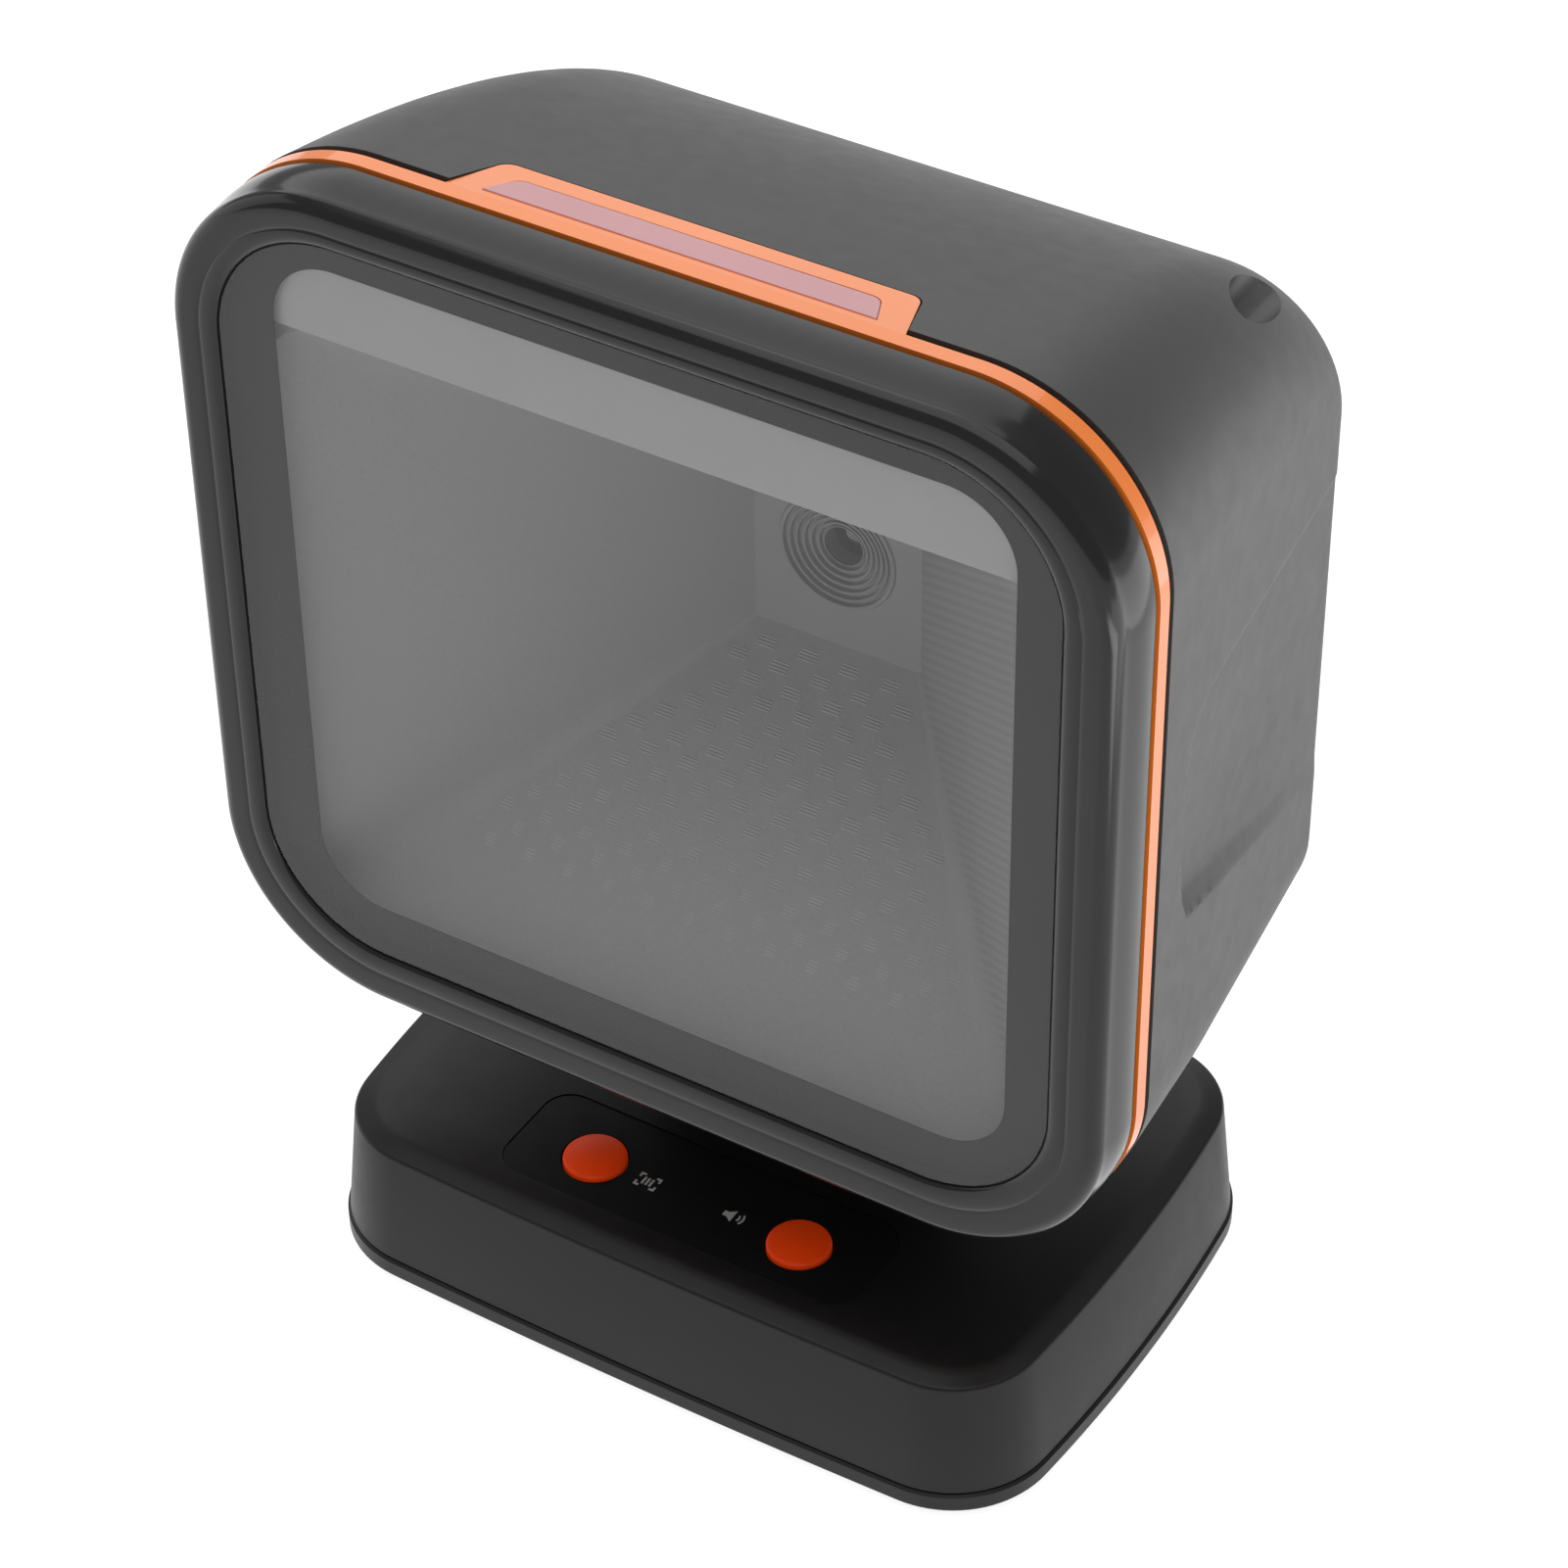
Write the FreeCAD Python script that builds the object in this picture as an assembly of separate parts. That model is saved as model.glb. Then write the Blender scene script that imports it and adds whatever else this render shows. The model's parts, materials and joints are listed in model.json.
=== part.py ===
import FreeCAD, Part
import math
import os
from collections import namedtuple
from FreeCAD import Vector

# Hands-free desktop barcode scanner: a square scanning head with a tinted
# window, tilting on a weighted base that holds two push buttons.
# Millimetres. +X is the viewer's right, the window faces -Y and +Z is up.
# Everything is laid out about the middle of the base, on the table, and is
# moved along Y at the end so that the origin is under the middle of the whole.

ALONG_X = Vector(1, 0, 0)
ALONG_Y = Vector(0, 1, 0)
ALONG_Z = Vector(0, 0, 1)

# ---- base ----
BASE_HALF_WIDTH = 41.8
BASE_HALF_DEPTH = 29.7
BASE_SIDE_RADIUS = 199.0        # the left and right sides bulge a little
BASE_FRONT_RADIUS = 973.0       # the front and rear bulge less
BASE_CORNER_RADIUS = 11.3
PLATE_BOTTOM = 0.6
PLATE_TOP = 3.0
SHELL_CEILING = 15.2
BEVEL_LOW = 16.5
BASE_TOP = 17.1
SHELL_INSETS = ((PLATE_TOP, 0.25), (BEVEL_LOW, 1.6), (BASE_TOP, 4.1))   # z and inset
HOLLOW_INSETS = ((PLATE_TOP - 0.5, 2.4), (SHELL_CEILING, 3.9))

FOOT_RADIUS = 4.6
FOOT_TOP = 1.6
FOOT_X = 31.5
FOOT_Y = 19.5
SCREW_SEAT = 3.2
BOSS_RADIUS = 3.4
BOSS_JOINT = 5.0
SCREW_SHANK = 1.2
SCREW_PILOT = 1.25
SCREW_CLEARANCE = 1.6

FOOT_RIM = 0.4
SCREW_HEAD_RADIUS = 2.6
SCREW_HEAD_HEIGHT = 1.5
SCREW_TIP = 12.5
PILOT_TOP = 13.5
HEAD_BORE_RADIUS = 2.8
PLATE_EDGE = 0.35
RIM_INSETS = (2.8, 2.9, 4.1)    # the plate's locating rim: outside low and high, and inside
RIM_HEIGHT = 1.6
RIM_GAP_HALF_WIDTH = 10.5       # gap in the rim for the cable socket
RIM_GAP_FRONT = 15.0
OVERLAP = 0.2                   # how far joined solids run into each other
BEYOND = 1.0                    # how far cutting solids stick out

BALLAST_HALF_WIDTH = 19.0
BALLAST_FRONT = -23.0
BALLAST_REAR = 11.0
BALLAST_CORNER = 3.0
BALLAST_TOP = 7.0

# ---- buttons and their board ----
BUTTON_X = 12.0
BUTTON_Y = -17.7
BUTTON_RADIUS = 3.3
BUTTON_FLANGE_RADIUS = 4.1
BUTTON_BOTTOM = 14.2
BUTTON_FLANGE_TOP = 15.0
BUTTON_EDGE_TOP = 17.35
BUTTON_DOME = 0.4
PLUNGER_RADIUS = 1.75
BOARD_BOTTOM = 9.5
BOARD_TOP = 10.7
BOARD_POSTS = ((-23.0, -11.5), (23.0, -11.5), (-23.0, -21.5), (23.0, -21.5))
BOARD_HALF_WIDTH = 26.5
BOARD_FRONT = -25.0
BOARD_REAR = -8.6
BOARD_CORNER = 1.5
BOARD_POST_RADIUS = 2.4
SMALL_SCREW_RADIUS = 0.9
SMALL_PILOT_RADIUS = 0.95
SMALL_CLEARANCE = 1.05
SMALL_SCREW_LOW = 5.5
SMALL_PILOT_LOW = 4.5
BOARD_SCREW_HEAD = (1.7, 1.2)   # radius and height
BUZZER_Y = -14.5
BUZZER_RADIUS = 4.2
BUZZER_HEIGHT = 3.2
BUZZER_HOLE_RADIUS = 0.9
BUZZER_HOLE_DEPTH = 1.0
PLUNGER_LOW = 12.4
PLUNGER_BORE_LOW = 11.7
SWITCH_HALF = 3.0
SWITCH_TOP = 13.3
PANEL_HALF_WIDTH = 20.7
PANEL_FRONT = -23.5
PANEL_REAR = -10.8
PANEL_CORNER = 3.0
PANEL_BOTTOM = 16.5
PANEL_TOP = 17.0
PANEL_GAP = 0.05
BUTTON_GAP = 0.12
INK = 0.06
MARK_LINE = 0.24
MARK_SCALE = 0.72
FRAME_MARK_AT = (-5.6, -17.9)
SPEAKER_MARK_AT = (4.4, -17.7)

# ---- cable socket ----
SOCKET_HALF_WIDTH = 7.3
SOCKET_LOW = 4.6
SOCKET_HIGH = 13.6
SOCKET_BACK = 15.2
SOCKET_MOUTH = 28.2
SOCKET_HOLE_HALF = 5.85
SOCKET_HOLE_LOW = 6.2
SOCKET_HOLE_HIGH = 12.7
SOCKET_DEPTH = 11.8
SOCKET_GAP = 0.1
SOCKET_OPENING_FRONT = 22.0
SOCKET_OPENING_REAR = 32.0
CONTACTS = 10
CONTACT_PITCH = 1.02
CONTACT_HALF_WIDTH = 0.25
CONTACT_FRONT = 18.0
CONTACT_REAR = 25.5
CONTACT_THICKNESS = 0.35
SOCKET_BOARD = (9.0, 12.5, 25.4)        # half width, front and rear

# ---- hinge ----
PIVOT_Y = 5.0
PIVOT_Z = 27.0
SHAFT_RADIUS = 2.5
RUNNING_GAP = 0.05
EAR_RADIUS = 6.0
EAR_INNER = 7.6
EAR_OUTER = 12.4
CAP_OUTER = 16.9
LUG_RADIUS = 5.5
LUG_HALF_WIDTH = 7.0
NECK_HALF_WIDTH = 14.5
NECK_FRONT = -2.5
NECK_REAR = 12.5
NECK_TOP = 20.9
NECK_CORNER = 5.0
NECK_SCREW_X = 6.5
NECK_SCREW_TIP = 19.6
SPIGOT_HALF_WIDTH = 10.0
SPIGOT_HALF_DEPTH = 4.5
SPIGOT_GAP = 0.1
CLAMP_HALF_WIDTH = 15.0
CLAMP_HALF_DEPTH = 8.5
CLAMP_CORNER = 2.0
CLAMP_LOW = 12.7
PIN_HEAD_RADIUS = 4.2
PIN_HEAD_LENGTH = 2.0
PIN_END = 3.4                   # how far the pin runs past the yoke's ear
NUT_HALF_FLATS = 4.0
NUT_LENGTH = 2.8
PRESS_GAP = 0.02
WASHER_RADIUS = 5.0
WASHER_GAP = 0.03
CAP_HOLLOW_RADIUS = 4.8
CAP_FACE = 0.9
CAP_EDGE = 1.2
BRACKET_LOW = 40.4
BRACKET_HIGH = 42.9
BRACKET_HALF_WIDTH = 16.0
BRACKET_HALF_DEPTH = 12.0
BRACKET_CORNER = 2.0
BRACKET_SCREW_RADIUS = 1.15
BRACKET_SCREW_TIP = 38.6
BRACKET_SCREW_HEAD = (2.2, 1.4)         # radius and height
BRACKET_CLEARANCE = 1.4
BRACKET_POST_RADIUS = 2.8
BRACKET_POST_LOW = 36.6
BRACKET_PILOT_RADIUS = 1.2
BRACKET_PILOT_LOW = 38.3
LUG_SLOT_GAP = 0.5
LUG_SLOT_HALF_DEPTH = 6.2
LUG_SLOT_LOW = 30.0
BRACKET_POSTS = ((-12.5, -3.5), (12.5, -3.5), (-12.5, 13.5), (12.5, 13.5))

# ---- head: upright rounded rectangles, seen from the front ----
Outline = namedtuple("Outline", "half_width z_low z_high r_top r_low")
RING = Outline(48.92, 35.44, 128.56, 18.3, 18.3)
PANE = Outline(43.5, 41.8, 124.05, 13.6, 13.6)
WINDOW = Outline(38.12, 46.4, 120.3, 7.06, 7.06)
LEDGE_OPENING = Outline(41.2, 43.8, 122.4, 10.6, 10.6)

BEZEL_CREST = -26.1
BEZEL_CORNER = 1.6
FLANK_FRONT_INSET = 0.2
FLANK_REAR_INSET = 0.12
FACE_DEPTH = 8.5
LIP_GROOVE_SHARE = 0.48         # place of the groove between the face's outer edge and the pane
LIP_GROOVE_HALF = 0.14
LIP_GROOVE_DEPTH = 0.08
PANE_GAP = 0.05
GLASS_FRONT = -25.6
GLASS_REAR = -24.2
BORDER_REAR = -24.05
LEDGE_FRONT = -23.2
LEDGE_REAR = -22.5
BEZEL_REAR = -19.6
RING_FRONT = -19.05
RING_REAR = -17.4
HOUSING_FRONT = -16.65
RING_DEPTH = 3.0
SKIRT_REAR = -9.0
SKIRT_OUTER = 3.75
SKIRT_INNER = 5.45

# ---- rear housing: how the outline changes from front to rear ----
HOUSING_REAR = 34.0
HOUSING_WALL = 2.2
SIDE_TAPER = 6.65
TOP_TAPER = 8.4
CROWN_LENGTH = 46.9
CROWN_DROP = 16.3
SIDE_ROUND_LENGTH = 6.6
SIDE_ROUND_DROP = 14.5
UNDERSIDE_START = -0.8
UNDERSIDE_SLOPE = 0.13
UNDERSIDE_ROUND_LENGTH = 5.0
UNDERSIDE_ROUND_DROP = 3.5
REAR_TOP_CORNER = 11.85
REAR_LOW_CORNER = 9.3

WELL_X = 37.4
WELL_Z = 115.7
WELL_RADIUS = 2.6
WELL_POST_RADIUS = 4.2
WELL_FLOOR = 3.0
BEZEL_BOSS_COLLAR = (4.6, -12.2, SKIRT_REAR)
BEZEL_BOSS_RADIUS = 3.4
BEZEL_BOSS_END = 0.0
BEZEL_PILOT = (1.45, -11.4)             # radius and front end
BEZEL_NOTCH = (25.0, 119.0, 126.0)      # half width, low and high: room for the light bar's board
HEAD_SCREW_HEAD = (2.3, 2.0)            # radius and length
HEAD_SCREW_RADIUS = 1.4
HEAD_SCREW_TIP = -10.8

GRIP_TURN = 1.1                 # degrees by which the grip's floor leans in towards the front
GRIP_PIVOT_X = 45.0
GRIP_OUTLINE = (                # (y, z) of the grip on each side, front edge first
    (-11.0, 83.5), (-10.4, 89.6), (-6.4, 93.2), (36.0, 93.2), (36.0, 57.5), (-7.4, 68.3),
)

# ---- light bar on top of the head ----
BAR_FRAME = ((23.6, -18.4), (21.05, -10.7))     # half width and y, front and rear
BAR_LENS = ((20.0, -16.4), (18.4, -12.8))
BAR_CORNER = 1.5
BAR_FRAME_LOW = 124.2
BAR_LENS_LOW = 125.4
BAR_GAP = 0.12
BAR_TOP = 135.0                 # cutting height, above the head
BAR_POCKET_DEPTH = 1.4
RING_LAND_INSET = 1.0
BAR_LENS_GAP = 0.03
STATUS_BOARD = (22.0, -18.3, -11.2, 1.2)        # half width, front, rear and thickness
STATUS_LEDS = 4
STATUS_LED_PITCH = 9.5
STATUS_LED = (1.4, -16.0, -13.4, 1.0)           # half width, front, rear and height

# ---- optics ----
TUNNEL_FRONT = Outline(40.4, 44.2, 111.5, 5.2, 5.2)
TUNNEL_FRONT_Y = LEDGE_REAR
TUNNEL_BACK = Outline(9.3, 68.6, 89.5, 0.6, 0.6)
TUNNEL_REAR_Y = 10.1
TUNNEL_WALL = 1.3
DIFFUSER_LOW = 112.2
DIFFUSER_GAP = 0.15
DIFFUSER_FRONT = -23.5
DIFFUSER_REAR = TUNNEL_FRONT_Y
LENS_Z = 79.6
BARREL_RADIUS = 6.5
BARREL_FRONT = 9.9
CAMERA_BOARD_FRONT = 20.0
CAMERA_BOARD_REAR = 21.2
CAMERA_SCREWS = ((-9.3, 70.2), (9.3, 70.2), (-9.3, 89.0), (9.3, 89.0))
LED_BOARD_FRONT = -15.0
LED_BOARD_REAR = -13.8
LED_BOARD = (32.0, 110.4, 119.5)        # half width, low and high
LED_COUNT = 6
LED_PITCH = 10.5
LED = (1.5, 1.2, 113.6, 116.6)          # half width, height, low and high
RIB_X = (22.0, 25.0)
RIB_DEPTH = 3.0
ENGINE_PLATE = Outline(12.0, 66.4, 92.8, 1.5, 1.5)
ENGINE_PLATE_THICKNESS = 1.2
ENGINE_POST_RADIUS = 2.2
ENGINE_PILOT_FRONT = 13.0
ENGINE_SCREW_TIP = 14.0
ENGINE_SCREW_HEAD = (1.8, 1.2)          # radius and length
BARREL_STEPS = ((5.9, 0.6), (5.15, 1.2), (4.4, 1.8), (3.65, 2.4), (2.9, 3.0))   # radius and depth
LENS_BORE = (2.2, 14.0)                 # radius and rear end of the bore in front of the lens
LENS_SEAT = (3.2, 13.6)                 # radius and front of the seat behind it
LENS_RADIUS = 3.15
LENS_FRONT = 12.5
LENS_REAR = 15.6
LENS_BALL = (4.5, 17.9)                 # radius and centre of the lens's front curve
LENS_NECK_RADIUS = 2.15
SENSOR_HALF_WIDTH = 2.1
SENSOR_HALF_HEIGHT = 1.9
SENSOR_FRONT = 18.8
MAIN_BOARD = Outline(30.0, 54.0, 104.0, 1.5, 1.5)
MAIN_BOARD_FRONT = 25.0
MAIN_BOARD_REAR = 26.4
MAIN_POST_RADIUS = 2.6
MAIN_PILOT = (1.0, 31.5)                # radius and rear end
MAIN_CLEARANCE = 1.1
MAIN_SCREW = (0.95, 31.0)               # radius and tip
MAIN_SCREW_HEAD = (2.0, 1.4)            # radius and length
CHIPS = (                               # x, height above the board and z of each chip
    (-16, -2, 1.6, 62, 76),
    (4, 22, 2.0, 84, 98),
    (-20, -11, 1.2, 86, 95),
    (4, 20, 2.0, 56, 61),
    (6, 12, 1.0, 68, 74),
)
MAIN_SCREWS = ((-26.0, 60.0), (26.0, 60.0), (-26.0, 99.0), (26.0, 99.0))

# The origin is under the middle of the base and head together.
FRAME_SHIFT_Y = -(HOUSING_REAR - BASE_HALF_DEPTH) / 2

HEAD_MIDDLE_Z = (RING.z_low + RING.z_high) / 2
WELLS = [(side * WELL_X, z) for side in (-1, 1) for z in (WELL_Z, 2 * HEAD_MIDDLE_Z - WELL_Z)]
FEET = [(sx * FOOT_X, sy * FOOT_Y) for sx in (-1, 1) for sy in (-1, 1)]

nodes = {}


# ---------------------------------------------------------------- helpers
def block(x0, x1, y0, y1, z0, z1):
    return Part.makeBox(x1 - x0, y1 - y0, z1 - z0, Vector(x0, y0, z0))


def post(radius, x, y, z0, z1):
    return Part.makeCylinder(radius, z1 - z0, Vector(x, y, z0), ALONG_Z)


def rod_y(radius, x, z, y0, y1):
    return Part.makeCylinder(radius, y1 - y0, Vector(x, y0, z), ALONG_Y)


def rod_x(radius, y, z, x0, x1):
    return Part.makeCylinder(radius, x1 - x0, Vector(x0, y, z), ALONG_X)


def union(shapes):
    shapes = list(shapes)
    if len(shapes) == 1:
        return shapes[0]
    return shapes[0].fuse(shapes[1:]).removeSplitter()


def group(shapes):
    return Part.makeCompound(list(shapes))


def mirrored_x(shape):
    return shape.mirror(Vector(0, 0, 0), ALONG_X)


def polygon_prism(points, height):
    """Prism on a flat closed polygon, along the vector height."""
    wire = Part.makePolygon([Vector(*p) for p in points] + [Vector(*points[0])])
    return Part.Face(wire).extrude(height)


def turned(edges, x, y):
    """Solid of revolution about an upright axis, from edges drawn in the plane y = 0."""
    wire = Part.Wire(Part.__sortEdges__(edges))
    solid = Part.Face(wire).revolve(Vector(0, 0, 0), ALONG_Z, 360)
    return solid.translated(Vector(x, y, 0))


# ---------------------------------------------------------------- base outline
def circle_meeting(centre_a, radius_a, centre_b, radius_b):
    """The meeting point of two circles that has positive x and y."""
    dx = centre_b[0] - centre_a[0]
    dy = centre_b[1] - centre_a[1]
    gap = math.hypot(dx, dy)
    along = (gap**2 + radius_a**2 - radius_b**2) / (2 * gap)
    across = math.sqrt(radius_a**2 - along**2)
    middle = (centre_a[0] + along * dx / gap, centre_a[1] + along * dy / gap)
    choices = [
        (middle[0] + side * across * dy / gap, middle[1] - side * across * dx / gap)
        for side in (-1, 1)
    ]
    return next(c for c in choices if c[0] > 0 and c[1] > 0)


def base_wire(inset, z):
    """Bulged rounded rectangle: four long side arcs with tangent corner arcs."""
    half_x = BASE_HALF_WIDTH - inset
    half_y = BASE_HALF_DEPTH - inset
    side_r = BASE_SIDE_RADIUS - inset
    front_r = BASE_FRONT_RADIUS - inset
    corner_r = BASE_CORNER_RADIUS - inset
    side_centre = (half_x - side_r, 0.0)
    front_centre = (0.0, half_y - front_r)
    corner = circle_meeting(side_centre, side_r - corner_r, front_centre, front_r - corner_r)

    def from_centre(centre, radius, through):
        dx, dy = through[0] - centre[0], through[1] - centre[1]
        length = math.hypot(dx, dy)
        return centre[0] + radius * dx / length, centre[1] + radius * dy / length

    on_side = from_centre(side_centre, side_r, corner)
    on_front = from_centre(front_centre, front_r, corner)
    blend = ((on_side[0] + on_front[0]) / 2, (on_side[1] + on_front[1]) / 2)
    mid_corner = from_centre(corner, corner_r, blend)

    def at(point, sx, sy):
        return Vector(sx * point[0], sy * point[1], z)

    edges = []
    for sx, sy in ((1, 1), (-1, 1), (-1, -1), (1, -1)):
        first, last = (on_side, on_front) if sx * sy > 0 else (on_front, on_side)
        edges.append(Part.Arc(at(first, sx, sy), at(mid_corner, sx, sy), at(last, sx, sy)).toShape())
        if sx * sy > 0:
            edge = Part.Arc(at(on_front, sx, sy), at((0, half_y), sx, sy), at(on_front, -sx, sy))
        else:
            edge = Part.Arc(at(on_side, sx, sy), at((half_x, 0), sx, sy), at(on_side, sx, -sy))
        edges.append(edge.toShape())
    return Part.Wire(edges)


def base_loft(levels):
    """Solid through base outlines given as (z, inset)."""
    return Part.makeLoft([base_wire(inset, z) for z, inset in levels], True, True)


def rounded_plate(x0, x1, y0, y1, radius, z0, z1):
    """Flat plate with four rounded upright edges."""
    plate = block(x0, x1, y0, y1, z0, z1)
    upright = [e for e in plate.Edges if abs(e.Vertexes[0].Z - e.Vertexes[1].Z) > (z1 - z0) / 2]
    return plate.makeFillet(radius, upright)


# ---------------------------------------------------------------- head outlines
def shrunk(outline, inset):
    return Outline(
        outline.half_width - inset,
        outline.z_low + inset,
        outline.z_high - inset,
        outline.r_top - inset,
        outline.r_low - inset,
    )


def outline_wire(outline, y):
    """Upright rounded rectangle in the plane y: four arcs and four straight sides."""
    wide, low, high, r_top, r_low = outline
    corners = (
        (wide - r_top, high - r_top, r_top, 0),
        (r_top - wide, high - r_top, r_top, 90),
        (r_low - wide, low + r_low, r_low, 180),
        (wide - r_low, low + r_low, r_low, 270),
    )
    arcs = []
    for x, z, radius, start in corners:
        points = []
        for turn in (0, 45, 90):
            angle = math.radians(start + turn)
            points.append(Vector(x + radius * math.cos(angle), y, z + radius * math.sin(angle)))
        arcs.append(Part.Arc(*points).toShape())
    edges = []
    for arc, following in zip(arcs, arcs[1:] + arcs[:1]):
        edges.append(arc)
        edges.append(Part.makeLine(arc.Vertexes[-1].Point, following.Vertexes[0].Point))
    return Part.Wire(edges)


def outline_plate(outline, y0, y1):
    return Part.Face(outline_wire(outline, y0)).extrude(Vector(0, y1 - y0, 0))


def outline_ring(outer, inner, y0, y1):
    return outline_plate(outer, y0, y1).cut(outline_plate(inner, y0, y1))


def swept_round(profile, outline):
    """Carries a closed profile round an outline. The profile is a list of
    edges made by a function of a placing function (inset, y) -> Vector."""
    radius = outline.r_top
    run_x = outline.half_width - radius
    z_corner = outline.z_high - radius

    def face(place):
        return Part.Face(Part.Wire(Part.__sortEdges__(profile(place))))

    side = face(lambda t, y: Vector(outline.half_width - t, y, HEAD_MIDDLE_Z))
    side = side.extrude(Vector(0, 0, z_corner - HEAD_MIDDLE_Z))
    corner = face(lambda t, y: Vector(outline.half_width - t, y, z_corner))
    corner = corner.revolve(Vector(run_x, 0, z_corner), Vector(0, -1, 0), 90)
    top = face(lambda t, y: Vector(0, y, outline.z_high - t))
    top = top.extrude(Vector(run_x, 0, 0))
    quarter = side.fuse([corner, top])
    half = quarter.fuse(mirrored_x(quarter))
    whole = half.fuse(half.mirror(Vector(0, 0, HEAD_MIDDLE_Z), ALONG_Z))
    return whole.removeSplitter()


def between(outer, inner, share):
    """The outline at a share of the way from one outline to another."""
    return Outline(*[a + (b - a) * share for a, b in zip(outer, inner)])


def bezel_profile(place):
    """Section of the bezel: a flank that rounds over to a flat face, and the
    skirt behind it. The face reaches in past the pane, which is cut out later."""
    crest_inset = FLANK_FRONT_INSET + BEZEL_CORNER
    flank_end = BEZEL_CREST + BEZEL_CORNER
    chord = BEZEL_CORNER * (1 - math.sqrt(0.5))
    corners = [
        (crest_inset, BEZEL_CREST),
        (FACE_DEPTH, BEZEL_CREST),
        (FACE_DEPTH, LEDGE_REAR),
        (SKIRT_INNER, LEDGE_REAR),
        (SKIRT_INNER, SKIRT_REAR),
        (SKIRT_OUTER, SKIRT_REAR),
        (SKIRT_OUTER, BEZEL_REAR),
        (FLANK_REAR_INSET, BEZEL_REAR),
        (FLANK_FRONT_INSET, flank_end),
    ]
    edges = [Part.makeLine(place(*a), place(*b)) for a, b in zip(corners, corners[1:])]
    rounding_over = Part.Arc(
        place(FLANK_FRONT_INSET, flank_end),
        place(FLANK_FRONT_INSET + chord, BEZEL_CREST + chord),
        place(crest_inset, BEZEL_CREST),
    )
    return edges + [rounding_over.toShape()]


# ---------------------------------------------------------------- housing shape
def rounding(y, start, length):
    """0 before start, rising along a quarter ellipse to 1 at start + length."""
    if y <= start:
        return 0.0
    part = min((y - start) / length, 1.0)
    return 1.0 - math.sqrt(1.0 - part * part)


def housing_outline(y):
    """Outer outline of the head behind the ring, at depth y."""
    along = (y - HOUSING_FRONT) / (HOUSING_REAR - HOUSING_FRONT)
    half_width = RING.half_width - SIDE_TAPER * along
    half_width -= SIDE_ROUND_DROP * rounding(y, HOUSING_REAR - SIDE_ROUND_LENGTH, SIDE_ROUND_LENGTH)
    z_high = RING.z_high - TOP_TAPER * along
    z_high -= CROWN_DROP * rounding(y, HOUSING_REAR - CROWN_LENGTH, CROWN_LENGTH)
    z_low = RING.z_low + UNDERSIDE_SLOPE * max(0.0, y - UNDERSIDE_START)
    z_low += UNDERSIDE_ROUND_DROP * rounding(
        y, HOUSING_REAR - UNDERSIDE_ROUND_LENGTH, UNDERSIDE_ROUND_LENGTH
    )
    r_top = RING.r_top + (REAR_TOP_CORNER - RING.r_top) * along
    r_low = RING.r_low + (REAR_LOW_CORNER - RING.r_low) * along
    return Outline(half_width, z_low, z_high, r_top, r_low)


def housing_stations():
    """Depths of the sections: even at first, then closing up on the rear rounding."""
    even, closing = 7, 7
    turn_start = HOUSING_REAR - SIDE_ROUND_LENGTH
    stations = [HOUSING_FRONT + (turn_start - HOUSING_FRONT) * k / even for k in range(even)]
    for k in range(closing + 1):
        stations.append(turn_start + SIDE_ROUND_LENGTH * math.sin(math.pi / 2 * k / closing))
    return stations


def housing_solid(wall):
    """The housing's outside, or with a wall thickness the hollow within it."""
    length = HOUSING_REAR - HOUSING_FRONT
    wires = []
    for y in housing_stations():
        depth = HOUSING_FRONT + (y - HOUSING_FRONT) * (length - wall) / length
        wires.append(outline_wire(shrunk(housing_outline(y), wall), depth))
    return Part.makeLoft(wires, True, False)


def bar_prism(frame, extra, z0, z1):
    """Upright prism on the light bar's plan: wide at the front, round rear corners."""
    (front_half, front_y), (rear_half, rear_y) = frame
    front_half += extra
    rear_half += extra
    rear_y += extra
    plan = [
        (-front_half, front_y, z0),
        (front_half, front_y, z0),
        (rear_half, rear_y, z0),
        (-rear_half, rear_y, z0),
    ]
    prism = polygon_prism(plan, Vector(0, 0, z1 - z0))
    rear = [
        e for e in prism.Edges
        if abs(e.Vertexes[0].Z - e.Vertexes[1].Z) > 1 and e.Vertexes[0].Y > (front_y + rear_y) / 2
    ]
    return prism.makeFillet(BAR_CORNER, rear)


# ---------------------------------------------------------------- base parts
def make_bottom_plate():
    plate = base_loft(((PLATE_BOTTOM, PLATE_EDGE), (PLATE_BOTTOM + PLATE_EDGE, 0.0), (PLATE_TOP, 0.0)))
    outside_low, outside_high, inside = RIM_INSETS
    low, high = PLATE_TOP - OVERLAP, PLATE_TOP + RIM_HEIGHT
    rim = base_loft(((low, outside_low), (high, outside_high)))
    rim = rim.cut(base_loft(((low - OVERLAP, inside), (high + OVERLAP, inside))))
    rim = rim.cut(block(
        -RIM_GAP_HALF_WIDTH, RIM_GAP_HALF_WIDTH, RIM_GAP_FRONT, BASE_HALF_DEPTH + BEYOND,
        PLATE_TOP, high + BEYOND,
    ))
    for x, y in FEET:
        rim = rim.cut(post(BOSS_RADIUS + 0.4, x, y, PLATE_TOP, high + BEYOND))
    parts = [plate, rim]
    parts += [post(BOSS_RADIUS, x, y, low, BOSS_JOINT) for x, y in FEET]
    parts += [post(BOARD_POST_RADIUS, x, y, low, BOARD_BOTTOM) for x, y in BOARD_POSTS]
    body = union(parts)
    for x, y in FEET:
        body = body.cut(post(FOOT_RADIUS + 0.1, x, y, 0, FOOT_TOP))
        body = body.cut(post(HEAD_BORE_RADIUS, x, y, 0, SCREW_SEAT))
        body = body.cut(post(SCREW_CLEARANCE, x, y, 0, BOSS_JOINT + BEYOND))
    for x, y in BOARD_POSTS:
        body = body.cut(post(SMALL_PILOT_RADIUS, x, y, SMALL_PILOT_LOW, BOARD_BOTTOM + BEYOND))
    nodes["base_bottom_plate"] = body


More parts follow.
